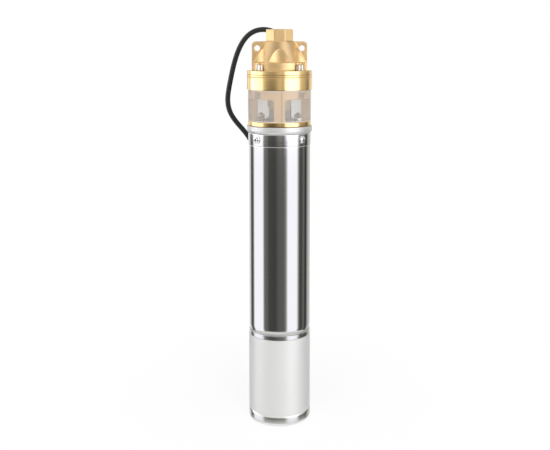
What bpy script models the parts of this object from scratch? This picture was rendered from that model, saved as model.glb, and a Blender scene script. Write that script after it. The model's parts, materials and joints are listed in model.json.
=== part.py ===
"""Borehole submersible pump: a brass peripheral stage on a canned stainless steel motor.

The pump stands on its base with its axis on +Z. The origin is at the centre of the base.
Azimuths are measured from the front, which looks towards -Y, and grow towards +X.
"""

import math

import bmesh
import bpy
from mathutils import Matrix, Vector

MM = 0.001

# Clearances
GAP = 0.3 * MM
BOLT_CLEAR = 0.3 * MM

# Facets of turned pieces
SHELL_STEPS = 32
POCKET_STEPS = 28
SEAL_STEPS = 24
INNER_STEPS = 20
CABLE_STEPS = 12
HOLE_STEPS = 10
SMALL_STEPS = 8
ARC_STEPS = 4
SPLINE_STEPS = 16

# Heights of the outer pieces, from the base up
CAP_H = 16.5 * MM
SATIN_H = 116.7 * MM
RIM_H = 6.7 * MM
TUBE_GROOVE_H = 2.4 * MM
TUBE_H = 280.4 * MM
CLAMP_H = 17.8 * MM
LIP_H = 10.4 * MM
LOWER_RING_H = 7.0 * MM
COLUMN_H = 33.1 * MM
PLATE_H = 13.5 * MM
BODY_RING_H = 22.2 * MM
COVER_H = 5.9 * MM
BAND_H = 11.8 * MM
CONE_H = 31.6 * MM
BOSS_H = 17.8 * MM

# Levels that follow from the heights
Z_CAP = CAP_H
Z_SATIN = Z_CAP + GAP
Z_RIM = Z_SATIN + SATIN_H + GAP
Z_RIM_TOP = Z_RIM + RIM_H
Z_TUBE = Z_RIM_TOP + TUBE_GROOVE_H
Z_TUBE_TOP = Z_TUBE + TUBE_H
Z_CLAMP = Z_TUBE_TOP + GAP
Z_CLAMP_TOP = Z_CLAMP + CLAMP_H
Z_LIP = Z_CLAMP_TOP + GAP
Z_LIP_TOP = Z_LIP + LIP_H
Z_LOWER_RING = Z_LIP_TOP + GAP
Z_COLUMN = Z_LOWER_RING + LOWER_RING_H
Z_PLATE = Z_COLUMN + COLUMN_H
Z_BODY_RING = Z_PLATE + PLATE_H
Z_JOINT = Z_BODY_RING + BODY_RING_H
Z_COVER = Z_JOINT + GAP
Z_BAND = Z_COVER + COVER_H
Z_CONE = Z_BAND + BAND_H
Z_BOSS = Z_CONE + CONE_H
Z_TOP = Z_BOSS + BOSS_H

# Outer radii: the pump body's ring sets the pump's width, and the rest keep their steps from it
BODY_R = 49.0 * MM
LIP_PROUD = 0.2 * MM
LOWER_RING_STEP = 1.5 * MM
STRAINER_STEP = 1.8 * MM
CLAMP_STEP = 1.9 * MM
CAP_STEP = 2.0 * MM
SATIN_STEP = 2.3 * MM
RIM_STEP = 2.4 * MM
TUBE_STEP = 2.5 * MM
BAND_STEP = 10.0 * MM
CONE_FOOT_STEP = 0.5 * MM
LIP_R = BODY_R + LIP_PROUD
LOWER_RING_R = BODY_R - LOWER_RING_STEP
STRAINER_R = BODY_R - STRAINER_STEP
CLAMP_R = BODY_R - CLAMP_STEP
CAP_R = BODY_R - CAP_STEP
SATIN_R = BODY_R - SATIN_STEP
RIM_R = BODY_R - RIM_STEP
TUBE_R = BODY_R - TUBE_STEP
BAND_R = BODY_R - BAND_STEP
CONE_FOOT_R = BAND_R - CONE_FOOT_STEP
CAP_EDGE_R = 7.0 * MM
SATIN_WALL = 0.6 * MM
SHELL_WALL = 1.5 * MM
TUBE_WALL = 1.5 * MM
TUBE_ROLL_H = 8.0 * MM
TUBE_ROLL_IN = 1.0 * MM
LIP_EDGE_R = 2.4 * MM
CONE_TOP_R = 22.6 * MM
BOSS_FLATS = 40.0 * MM
BOSS_SIDES = 8

# Delivery head
PORT_R = 15.15 * MM
PORT_DEPTH = 50.6 * MM
POCKETS = 6
POCKET_R = 21.6 * MM
POCKET_STEP = 5.5 * MM
POCKET_PITCH_R = CONE_TOP_R + POCKET_STEP + POCKET_R
EAR_STEP = 7.6 * MM
EAR_SPAN = 2 * (BODY_R - EAR_STEP)
EAR_THICK = 6.0 * MM
EAR_CORNER_R = 6.0 * MM
ROPE_HOLE_R = 4.25 * MM
ROPE_HOLE_IN = 7.9 * MM
ROPE_HOLE_X = EAR_SPAN / 2 - ROPE_HOLE_IN
ROPE_HOLE_DROP = 10.2 * MM
NUT_ROOM_R = 11.0 * MM
NUT_ROOM_H = 14.5 * MM
DELIVERY_HOLE_R = 5.0 * MM
DELIVERY_WALL = 0.94 * MM

# Impeller chamber, between the body and the cover
CHAMBER_WALL = 12.0 * MM
CHAMBER_R = BODY_R - CHAMBER_WALL
CHAMBER_DEPTH = 13.2 * MM
CHANNEL_W = 10.0 * MM
CHANNEL_IN_R = CHAMBER_R - CHANNEL_W
CHANNEL_DEPTH = 4.0 * MM
COVER_SPIGOT = 2.2 * MM
STRIPPER_W = 8.0 * MM
SUCTION_HOLE_R = 5.5 * MM
DELIVERY_TURN = 210.0
SUCTION_TURN = 150.0

# Impeller
RIM_CHANNEL = 4.0 * MM
IMPELLER_R = CHAMBER_R - RIM_CHANNEL
VANES = 20
VANE_THICK = 1.6 * MM
VANE_LENGTH = 7.0 * MM
WEB_THICK = 1.8 * MM
HUB_R = 13.0 * MM
HUB_PROUD = 1.4 * MM
RUN_GAP = 0.35 * MM
KEY_W = 3.4 * MM
KEY_IN_R = 5.0 * MM
KEY_OUT_R = 9.0 * MM
KEY_H = 8.0 * MM

# Pump body cage and strainer
STRAINER_WALL = 0.8 * MM
COLUMN_STEP = 15.0 * MM
CAGE_IN_R = BODY_R - COLUMN_STEP
COLUMN_W = 16.0 * MM
COLUMN_FILLET = 4.0 * MM
SEAL_HOUSE_R = 18.0 * MM
SEAL_HOUSE_H = 13.0 * MM
SEAL_NECK_R = 16.0 * MM
SEAL_NECK_H = 5.0 * MM
SEAL_HOUSE_BORE_R = 13.5 * MM
THROAT_H = 4.0 * MM
BODY_GROOVE_Z = 3.2 * MM
BODY_GROOVE = 0.5 * MM
BODY_RECESS_R = 6.5 * MM
BODY_RECESS_STEP = 3.0 * MM
BODY_RECESS_PITCH_R = BODY_R - BODY_RECESS_STEP
BODY_RECESS_ROOF = 3.0 * MM
SLOT_COUNT = 30
SLOT_ROW_COUNT = 3
STRAINER_BORDER = 1.6 * MM

# Fasteners
BOLT_TURN = 45.0
BOLTS = 4
HEAD_BOLT_STEP = 7.0 * MM
HEAD_BOLT_PITCH_R = BODY_R - HEAD_BOLT_STEP
STUD_STEP = 9.0 * MM
STUD_PITCH_R = BODY_R - STUD_STEP
BOLT_R = 3.0 * MM
BOLT_HEAD_R = 5.0 * MM
BOLT_HEAD_H = 6.0 * MM
BOLT_CHAMFER = 0.6 * MM
BOLT_LENGTH = 34.0 * MM
WASHER_R = 6.0 * MM
WASHER_H = 1.5 * MM
BOLT_NOTCH_R = 6.5 * MM
NUT_FLATS = 10.0 * MM
NUT_H = 5.0 * MM
STUD_PROUD = 3.0 * MM
IMPELLER_NUT_FLATS = 17.0 * MM
IMPELLER_NUT_H = 7.0 * MM
STUD_DEPTH = 12.0 * MM
STUD_WASHER_R = 5.4 * MM
CLAMP_SCREW_R = 2.0 * MM
CLAMP_SCREW_HEAD_R = 4.5 * MM
CLAMP_SCREW_HEAD_H = 2.4 * MM
CLAMP_SCREW_LENGTH = 7.0 * MM
HEX_KEY_FLATS = 3.0 * MM
HEX_KEY_DEPTH = 1.2 * MM
CLAMP_SCREW_LIFT = 9.6 * MM

# Shaft and its bearings, a 17 mm bore ball bearing of the light series
SHAFT_R = 8.5 * MM
SHAFT_TOP_R = 7.0 * MM
THREAD_R = 5.0 * MM
SHAFT_END_ROOM = 2.5 * MM
BEARING_OUT_R = 20.0 * MM
BEARING_W = 12.0 * MM
BALL_PITCH_R = 14.25 * MM
BALL_R = 3.0 * MM
BALLS = 7
RACE_R = 3.9 * MM
RING_SHOULDER = 2.2 * MM
CAGE_RING_H = 2.4 * MM
CAGE_RING_W = 1.6 * MM

# Upper bearing bracket
BRACKET_SKIRT = 19.0 * MM
BRACKET_FLOOR = 13.7 * MM
SKIRT_WALL = 4.7 * MM
BEARING_WALL = 4.2 * MM
BRACKET_HUB_R = 18.5 * MM
BRACKET_HUB_H = 12.2 * MM
UPPER_BEARING_DROP = 20.4 * MM
OIL_ROOM_R = 13.5 * MM
OIL_ROOM_H = 18.0 * MM
SHAFT_ROOM_R = 9.4 * MM

# Shaft seal
SEAT_R = 13.2 * MM
SEAT_H = 5.4 * MM
SEAT_BORE_R = 9.0 * MM
SEAL_RING_R = 12.0 * MM
SEAL_RING_H = 7.4 * MM
SEAL_NOSE = 1.5 * MM
SPRING_R = 10.6 * MM
SPRING_WIRE_R = 0.8 * MM
SPRING_TURN_COUNT = 3
SPRING_TURN_STEPS = 9
SPRING_H = 9.4 * MM
CLIP_R = 11.0 * MM
CLIP_H = 1.4 * MM

# Motor
CORE_ROOM = 130.4 * MM
CORE_H = TUBE_H - CORE_ROOM
CORE_DROP = 58.0 * MM
CORE_BORE_SHARE = 0.516
CORE_IN_R = CORE_BORE_SHARE * TUBE_R
AIR_GAP = 0.6 * MM
ROTOR_R = CORE_IN_R - AIR_GAP
ROTOR_LONGER = 3.0 * MM
END_RING_STEP = 1.5 * MM
END_RING_W = 5.9 * MM
END_RING_H = 8.0 * MM
WINDING_H = 30.0 * MM
WINDING_STEP = 3.0 * MM
WINDING_IN_R = CORE_IN_R + WINDING_STEP
WINDING_ROOM = 3.5 * MM
WINDING_OUT_R = TUBE_R - TUBE_WALL - WINDING_ROOM
WINDING_EDGE = (WINDING_OUT_R - WINDING_IN_R) / 3

# Lower bearing bracket
LOWER_RIM_STEP = 0.9 * MM
LOWER_RIM_R = TUBE_R - LOWER_RIM_STEP
LOWER_SPIGOT_UP = 17.0 * MM
LOWER_SPIGOT_DOWN = 14.5 * MM
LOWER_WALL = 4.4 * MM
LOWER_WEB_H = 6.0 * MM
LOWER_BEARING_LIFT = 17.0 * MM
WIRE_HOLE_R = 6.0 * MM

# Seal rings
CORD_SEAL_R = 1.2 * MM
SEAL_LAND = 7.0 * MM
SEAL_GROOVE = 2 * CORD_SEAL_R + 2 * GAP
COVER_SEAL_EDGE = 1.2 * MM
COVER_SEAL_W = 1.2 * MM
COVER_SEAL_H = 2.4 * MM

# Capacitor in the lower shell
CAP_FLOOR = 4.0 * MM
CAP_SPIGOT_WALL = 6.5 * MM
CAP_SPIGOT_H = 8.0 * MM
CAP_SLOT_WALL = 0.8 * MM
CAPACITOR_R = 22.5 * MM
CAPACITOR_H = 84.0 * MM
CAPACITOR_EDGE = 2.0 * MM
TERMINAL_X = 8.0 * MM
TERMINAL_SIZE = 6.0 * MM
HOLDER_H = 8.0 * MM
HOLDER_LIFT = 52.0 * MM
HOLDER_SLOT_R = 4.0 * MM

# Power cable and its way through the pump
CABLE_R = 4.0 * MM
CABLE_STEP = 7.0 * MM
CABLE_PITCH_R = BODY_R - CABLE_STEP
CABLE_TURN = 160.0
GLAND_FLATS = 13.0 * MM
GLAND_H = 11.0 * MM
GLAND_HEX_H = 5.5 * MM
GLAND_NECK_R = 6.3 * MM
GLAND_SPIGOT_R = 5.2 * MM
GLAND_SPIGOT_H = 1.2 * MM
GLAND_CUP_R = 5.5 * MM
GLAND_CUP_DEPTH = 9.0 * MM
GLAND_NOTCH_R = 8.0 * MM
GLAND_NOTCH_H = 22.0 * MM
GROMMET_H = 20.0 * MM
GROMMET_TIP_R = 4.8 * MM
BUSH_R = 6.0 * MM
BUSH_H = 7.0 * MM
CORE_WAY_R = 3.0 * MM
CORE_WAY_STEP = 6.0 * MM
CORE_WAY_PITCH_R = CABLE_PITCH_R - CORE_WAY_STEP

# Free cable: its bend over the head, from where it leaves the grommet
CABLE_BEND = [
    (0.0, 0.0, 0.0),
    (-1.2, 0.0, 11.3),
    (-7.0, 0.3, 22.7),
    (-16.0, 0.7, 31.6),
    (-27.4, 1.3, 37.5),
    (-40.0, 2.1, 39.5),
    (-52.4, 3.5, 37.1),
    (-62.8, 5.5, 30.7),
    (-71.0, 7.5, 21.1),
    (-77.0, 9.5, 9.9),
    (-82.0, 11.5, -2.7),
    (-86.6, 13.5, -18.7),
    (-90.4, 15.5, -36.1),
    (-94.2, 17.5, -54.5),
    (-96.6, 19.7, -71.3),
    (-94.0, 21.9, -88.9),
    (-84.8, 23.9, -104.1),
    (-73.0, 25.7, -117.3),
    (-62.2, 27.1, -131.1),
    (-54.4, 28.0, -146.9),
    (-51.0, 28.4, -164.7),
    (-50.4, 28.5, -185.3),
    (-50.4, 28.5, -227.3),
]
# Then its fall and its turn onto the coil, from the floor under the coil's left side
CABLE_FALL = [
    (0.0, -33.0, 230.0),
    (0.0, -33.0, 130.0),
    (0.0, -33.0, 92.0),
    (0.0, -33.0, 75.9),
    (0.0, -31.9, 67.4),
    (0.0, -28.6, 59.4),
    (0.0, -23.3, 52.6),
    (0.0, -16.5, 47.4),
    (0.0, -8.5, 44.1),
    (0.0, -0.6, 43.0),
]
CABLE_TUBE_STEPS = 48
COIL_LEFT = 10.4 * MM
COIL_BACK = 61.5 * MM
COIL_R = 40.0 * MM
COIL_FLOOR = 1.2 * MM
COIL_H = 37.4 * MM
COIL_EDGE = 3.0 * MM
TIE_THICK = 0.8 * MM
TIE_W = 5.0 * MM
BARE_CORE_R = 1.3 * MM
BARE_CORES = ("brown", "blue", "earth")
BARE_CORE_LENGTH = 24.0 * MM
BARE_CORE_SPLAY = 4.6 * MM
BARE_CORE_RING = 1.7 * MM
BARE_CORE_TOP = 5.6 * MM

# Levels of the inner pieces
Z_IMPELLER_FACE = Z_JOINT - CHAMBER_DEPTH
Z_IMPELLER_TOP = Z_COVER - COVER_SPIGOT
Z_WEB = (Z_IMPELLER_FACE + Z_IMPELLER_TOP) / 2
Z_UPPER_BEARING = Z_LIP - UPPER_BEARING_DROP - BEARING_W
Z_LOWER_BEARING = Z_TUBE + LOWER_BEARING_LIFT
Z_HUB_TOP = Z_LIP_TOP + BRACKET_HUB_H
Z_SEAT = Z_HUB_TOP - SEAT_H - GAP
Z_SEAL_RING = Z_HUB_TOP
Z_SPRING = Z_SEAL_RING + SEAL_RING_H + GAP
Z_CLIP = Z_SPRING + SPRING_H + GAP
Z_SHAFT_STEP = Z_CLIP + CLIP_H
Z_SHAFT_TOP = Z_IMPELLER_TOP + NUT_ROOM_H - SHAFT_END_ROOM
Z_CORE_TOP = Z_TUBE_TOP - CORE_DROP
Z_CORE = Z_CORE_TOP - CORE_H
Z_PORT_FLOOR = Z_TOP - PORT_DEPTH
Z_BUSH = Z_LIP_TOP - BUSH_H
Z_GLAND = Z_BAND + GAP
Z_GLAND_TOP = Z_GLAND + GLAND_H
Z_GROMMET = Z_GLAND_TOP - GLAND_CUP_DEPTH + GAP
Z_CLAMP_SCREW = Z_CLAMP + CLAMP_SCREW_LIFT

# Radii that follow from the walls
TUBE_IN_R = TUBE_R - TUBE_WALL
SPIGOT_R = TUBE_IN_R - GAP
SHELL_R = SATIN_R - SATIN_WALL - GAP
SHELL_IN_R = SHELL_R - SHELL_WALL
SHELL_SPIGOT_R = SHELL_IN_R - GAP
BEARING_SEAT_R = BEARING_OUT_R + GAP
BEARING_IN_R = SHAFT_R + GAP
STRAINER_IN_R = STRAINER_R - STRAINER_WALL
CAGE_R = STRAINER_IN_R - GAP
IMPELLER_BORE_R = SHAFT_TOP_R + GAP
CABLE_HOLE_R = CABLE_R + GAP
BEARING_HOUSE_R = BEARING_SEAT_R + BEARING_WALL
TAPPED_R = BOLT_R + BOLT_CLEAR


# Helpers

def around(radius, azimuth, z):
    """The point at a radius, an azimuth in degrees from the front, and a height."""
    turn = math.radians(azimuth)
    return Vector((radius * math.sin(turn), -radius * math.cos(turn), z))


# Where the free cable starts, and where its coil lies
CABLE_START = around(CABLE_PITCH_R, CABLE_TURN, Z_GROMMET + GROMMET_H + GAP)
COIL_CENTRE = around(CABLE_PITCH_R, CABLE_TURN, 0.0) + Vector((-COIL_LEFT, COIL_BACK, 0.0))


def linear(code):
    """Turn an sRGB hex colour into the linear colour that a shader takes."""
    channels = [int(code[i:i + 2], 16) / 255 for i in (0, 2, 4)]
    return [c / 12.92 if c <= 0.04045 else ((c + 0.055) / 1.055) ** 2.4 for c in channels] + [1.0]


def material(name, colour, metallic, roughness):
    made = bpy.data.materials.new(name)
    made.use_nodes = True
    shader = made.node_tree.nodes["Principled BSDF"]
    shader.inputs["Base Color"].default_value = linear(colour)
    shader.inputs["Metallic"].default_value = metallic
    shader.inputs["Roughness"].default_value = roughness
    made.diffuse_color = linear(colour)
    return made


def new_collection(name):
    made = bpy.data.collections.new(name)
    bpy.context.scene.collection.children.link(made)
    return made


def arc(centre_r, centre_z, radius, start, end, points=ARC_STEPS):
    """Points of an arc in a turned outline, from one angle in degrees to another."""
    angles = [math.radians(start + (end - start) * i / points) for i in range(points + 1)]
    return [(centre_r + radius * math.cos(a), centre_z + radius * math.sin(a)) for a in angles]


def groove(radius, middle_z, half_height, floor_r):
    """The four points of a square groove, passed from top to bottom on an outer side."""
    high, low = middle_z + half_height, middle_z - half_height
    return [(radius, high), (floor_r, high), (floor_r, low), (radius, low)]


def polygon_radius(flats, sides):
    """The corner radius of a regular prism with this distance across its flats."""
    return flats / 2 / math.cos(math.pi / sides)


def finish(obj, look):
    obj.data.materials.append(look)
    if obj.type == "MESH":
        obj.data.shade_smooth()
        obj.data.set_sharp_from_angle(angle=math.radians(30))
    return obj


def mesh_object(name, bm, collection, look=None):
    mesh = bpy.data.meshes.new(name)
    bm.to_mesh(mesh)
    bm.free()
    obj = bpy.data.objects.new(name, mesh)
    collection.objects.link(obj)
    return finish(obj, look) if look else obj


def turned(name, outline, look=None, steps=SHELL_STEPS, collection=None):
    """A solid of revolution about Z from (radius, height) points that run down its outer side."""
    bm = bmesh.new()
    points = [bm.verts.new((r, 0.0, z)) for r, z in outline]
    for first, second in zip(points, points[1:]):
        bm.edges.new((first, second))
    if outline[0][0] > 0.0 or outline[-1][0] > 0.0:
        bm.edges.new((points[-1], points[0]))
    obj = mesh_object(name, bm, collection or PARTS, look)
    screw = obj.modifiers.new("turn", "SCREW")
    screw.axis = "Z"
    screw.angle = math.tau
    screw.steps = steps
    screw.render_steps = steps
    screw.use_merge_vertices = True
    screw.merge_threshold = 0.00001
    screw.use_smooth_shade = True
    return obj


def add_rod(bm, radius, start, end, sides=HOLE_STEPS, twist=0.0):
    """Add a cylinder or prism between two points, turned about its own axis by twist."""
    along = end - start
    turn = along.to_track_quat("Z", "Y").to_matrix().to_4x4() @ Matrix.Rotation(twist, 4, "Z")
    bmesh.ops.create_cone(
        bm, cap_ends=True, segments=sides, radius1=radius, radius2=radius,
        depth=along.length, matrix=Matrix.Translation((start + end) / 2) @ turn)


def add_box(bm, low, high, turn=None):
    """Add a box between two corners, and turn it about Z if a matrix is given."""
    low, high = Vector(low), Vector(high)
    place = Matrix.Translation((low + high) / 2) @ Matrix.Diagonal((*(high - low), 1.0))
    bmesh.ops.create_cube(bm, size=1.0, matrix=(turn or Matrix()) @ place)


def tool(name, bm):
    """A cutter or a shape to join: hidden, drawn as wire and left out of the model."""
    obj = mesh_object(name, bm, CUTTERS)
    return hide(obj)


def hide(obj):
    obj.hide_render = True
    obj.display_type = "WIRE"
    return obj


def combine(obj, other, operation):
    change = obj.modifiers.new(other.name, "BOOLEAN")
    change.operation = operation
    change.solver = "EXACT"
    change.object = other
    return obj


def cut(obj, other):
    return combine(obj, other, "DIFFERENCE")


def join(obj, other):
    return combine(obj, other, "UNION")


def bolt_azimuths():
    return [BOLT_TURN + 360.0 / BOLTS * i for i in range(BOLTS)]


def vertical_holes(name, radius, pitch_r, low, high, azimuths, sides=HOLE_STEPS):
    bm = bmesh.new()
    for azimuth in azimuths:
        add_rod(bm, radius, around(pitch_r, azimuth, low), around(pitch_r, azimuth, high), sides)
    return tool(name, bm)


def tube_along(name, points, radius, look, resolution=2):
    """A closed round tube along a list of points."""
    data = bpy.data.curves.new(name, "CURVE")
    data.dimensions = "3D"
    data.bevel_depth = radius
    data.bevel_resolution = resolution
    data.use_fill_caps = True
    spline = data.splines.new("POLY")
    spline.points.add(len(points) - 1)
    for slot, point in zip(spline.points, points):
        slot.co = (*point, 1.0)
    obj = bpy.data.objects.new(name, data)
    PARTS.objects.link(obj)
    return finish(obj, look)


def smooth_route(points, count):
    """Points at even spacing on a smooth curve (a cubic B-spline) along a cord's route."""
    ends = [2 * points[0] - points[1]] + points + [2 * points[-1] - points[-2]]
    fine = []
    for before, start, end, after in zip(ends, ends[1:], ends[2:], ends[3:]):
        for step in range(SPLINE_STEPS):
            t = step / SPLINE_STEPS
            fine.append((before * (1 - t) ** 3 + start * (3 * t ** 3 - 6 * t * t + 4)
                         + end * (3 * t + 3 * t * t - 3 * t ** 3 + 1) + after * t ** 3) / 6)
    fine.append(points[-1])
    lengths = [0.0]
    for first, second in zip(fine, fine[1:]):
        lengths.append(lengths[-1] + (second - first).length)
    spaced = []
    reach = 0
    for i in range(count):
        wanted = lengths[-1] * i / (count - 1)
        while reach < len(fine) - 2 and lengths[reach + 1] < wanted:
            reach += 1
        share = (wanted - lengths[reach]) / (lengths[reach + 1] - lengths[reach])
        spaced.append(fine[reach].lerp(fine[reach + 1], share))
    return spaced


def seal_ring(name, spigot_r, z):
    """A round rubber ring in a spigot's groove at this height."""
    section = arc(spigot_r - CORD_SEAL_R, z, CORD_SEAL_R, 90.0, -270.0)[:-1]
    return turned(name, section, RUBBER, SEAL_STEPS)


# Delivery head

def ear_plate():
    """One plate through the head whose two ends are the rope ears."""
    half, radius = EAR_SPAN / 2, EAR_CORNER_R
    top = Z_BOSS - radius
    right = [(half, Z_BAND - 2 * GAP)] + arc(half - radius, top, radius, 0.0, 90.0)
    outline = right + [(-x, z) for x, z in reversed(right)]
    data = bpy.data.curves.new("ear plate outline", "CURVE")
    data.dimensions = "2D"
    data.fill_mode = "BOTH"
    data.extrude = EAR_THICK / 2
    spline = data.splines.new("POLY")
    spline.points.add(len(outline) - 1)
    for slot, (x, z) in zip(spline.points, outline):
        slot.co = (x, z, 0.0, 1.0)
    spline.use_cyclic_u = True
    flat = bpy.data.objects.new("ear plate outline", data)
    CUTTERS.objects.link(flat)
    flat.rotation_euler = (math.pi / 2, 0.0, 0.0)
    bpy.context.view_layer.update()
    evaluated = flat.evaluated_get(bpy.context.evaluated_depsgraph_get())
    bm = bmesh.new()
    bm.from_mesh(bpy.data.meshes.new_from_object(evaluated))
    bmesh.ops.remove_doubles(bm, verts=bm.verts, dist=0.00001)
    bmesh.ops.transform(bm, matrix=flat.matrix_world, verts=bm.verts)
    bpy.data.objects.remove(flat)
    return tool("ear plate", bm)


def outlet_boss():
    bm = bmesh.new()
    add_rod(bm, polygon_radius(BOSS_FLATS, BOSS_SIDES), Vector((0, 0, Z_BOSS - BAND_H)),
            Vector((0, 0, Z_TOP)), BOSS_SIDES, math.pi / BOSS_SIDES)
    return tool("outlet boss", bm)


def delivery_head():
    spigot_z = Z_IMPELLER_TOP
    head = turned("delivery_head", [
        (0.0, Z_BOSS), (CONE_TOP_R, Z_BOSS), (CONE_FOOT_R, Z_CONE), (BAND_R, Z_CONE),
        (BAND_R, Z_BAND), (BODY_R, Z_BAND), (BODY_R, Z_COVER),
        (CHAMBER_R, Z_COVER), (CHAMBER_R, Z_COVER + CHANNEL_DEPTH / 2),
        (CHANNEL_IN_R, Z_COVER + CHANNEL_DEPTH / 2), (CHANNEL_IN_R, spigot_z),
        (0.0, spigot_z),
    ], BRASS_CAST)
    join(head, outlet_boss())
    join(head, ear_plate())
    cut(head, vertical_holes("arched pockets", POCKET_R, POCKET_PITCH_R, Z_CONE, Z_TOP,
                             [360.0 / POCKETS * i for i in range(POCKETS)], POCKET_STEPS))
    cut(head, vertical_holes("bolt notches", BOLT_NOTCH_R, HEAD_BOLT_PITCH_R, Z_BAND,
                             Z_CONE + 2 * BOLT_CLEAR, bolt_azimuths()))
    cut(head, vertical_holes("gland notch", GLAND_NOTCH_R, CABLE_PITCH_R, Z_BAND,
                             Z_BAND + GLAND_NOTCH_H, [CABLE_TURN], CABLE_STEPS))
    cut(head, vertical_holes("head bolt holes", TAPPED_R, HEAD_BOLT_PITCH_R,
                             Z_COVER - COVER_H, Z_BAND + COVER_H, bolt_azimuths()))
    cut(head, vertical_holes("cable way in head", CABLE_HOLE_R, CABLE_PITCH_R,
                             Z_COVER - COVER_H, Z_BAND + COVER_H, [CABLE_TURN], CABLE_STEPS))
    cut(head, vertical_holes("gland seat", GLAND_SPIGOT_R + GAP, CABLE_PITCH_R,
                             Z_BAND - GLAND_SPIGOT_H - GAP, Z_BAND + COVER_H, [CABLE_TURN],
                             CABLE_STEPS))
    room = bmesh.new()
    add_rod(room, NUT_ROOM_R, Vector((0, 0, spigot_z - NUT_ROOM_H)),
            Vector((0, 0, spigot_z + NUT_ROOM_H)), INNER_STEPS)
    cut(head, tool("nut room", room))
    bore = bmesh.new()
    add_rod(bore, PORT_R, Vector((0, 0, Z_PORT_FLOOR)), Vector((0, 0, Z_TOP + BOSS_H)),
            INNER_STEPS)
    cut(head, tool("outlet port", bore))
    ropes = bmesh.new()
    for side in (-1, 1):
        place = Vector((side * ROPE_HOLE_X, 0.0, Z_BOSS - ROPE_HOLE_DROP))
        reach = Vector((0.0, EAR_THICK, 0.0))
        add_rod(ropes, ROPE_HOLE_R, place - reach, place + reach, 16)
    cut(head, tool("rope holes", ropes))
    way = bmesh.new()
    channel_r = (CHANNEL_IN_R + CHAMBER_R) / 2
    low = Z_COVER - GAP
    across, up = channel_r - NUT_ROOM_R, spigot_z + NUT_ROOM_H - low
    wall_angle = math.asin((DELIVERY_HOLE_R + DELIVERY_WALL) / math.hypot(across, up))
    rise = (channel_r - PORT_R / 2) / math.tan(math.atan2(across, up) - wall_angle)
    add_rod(way, DELIVERY_HOLE_R, around(channel_r, DELIVERY_TURN, low),
            around(PORT_R / 2, DELIVERY_TURN, low + rise))
    cut(head, tool("delivery way", way))
    return head


def head_bolts():
    """Socket screws with a spring washer and a flat washer under the head."""
    seat = Z_BAND + GAP
    flat_top = seat + WASHER_H
    spring_top = flat_top + WASHER_H
    head_top = spring_top + BOLT_HEAD_H
    chamfer = BOLT_CHAMFER
    for number, azimuth in enumerate(bolt_azimuths(), 1):
        bolt = turned(f"head_bolt_{number}", [
            (0.0, head_top), (BOLT_HEAD_R - chamfer, head_top),
            (BOLT_HEAD_R, head_top - chamfer), (BOLT_HEAD_R, flat_top), (WASHER_R, flat_top),
            (WASHER_R, seat), (BOLT_R, seat), (BOLT_R, head_top - BOLT_LENGTH - BOLT_HEAD_H),
            (0.0, head_top - BOLT_LENGTH - BOLT_HEAD_H),
        ], STAINLESS, SMALL_STEPS)
        bolt.location = around(HEAD_BOLT_PITCH_R, azimuth, 0.0)
        bm = bmesh.new()
        place = around(HEAD_BOLT_PITCH_R, azimuth, head_top)
        reach = Vector((0.0, 0.0, BOLT_HEAD_H / 2))
        add_rod(bm, polygon_radius(NUT_FLATS / 2, 6), place - reach, place + reach, 6)
        cut(bolt, tool(f"head bolt socket {number}", bm))


def cover_seal():
    """Flat ring seal round the chamber, in a groove of the pump body."""
    high = Z_JOINT - GAP
    low = high - COVER_SEAL_H
    outer = BODY_R - COVER_SEAL_EDGE - GAP
    turned("cover_seal", [
        (outer, high), (outer, low), (outer - COVER_SEAL_W, low), (outer - COVER_SEAL_W, high),
    ], RUBBER, SHELL_STEPS)


# Pump body, impeller and strainer

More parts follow.
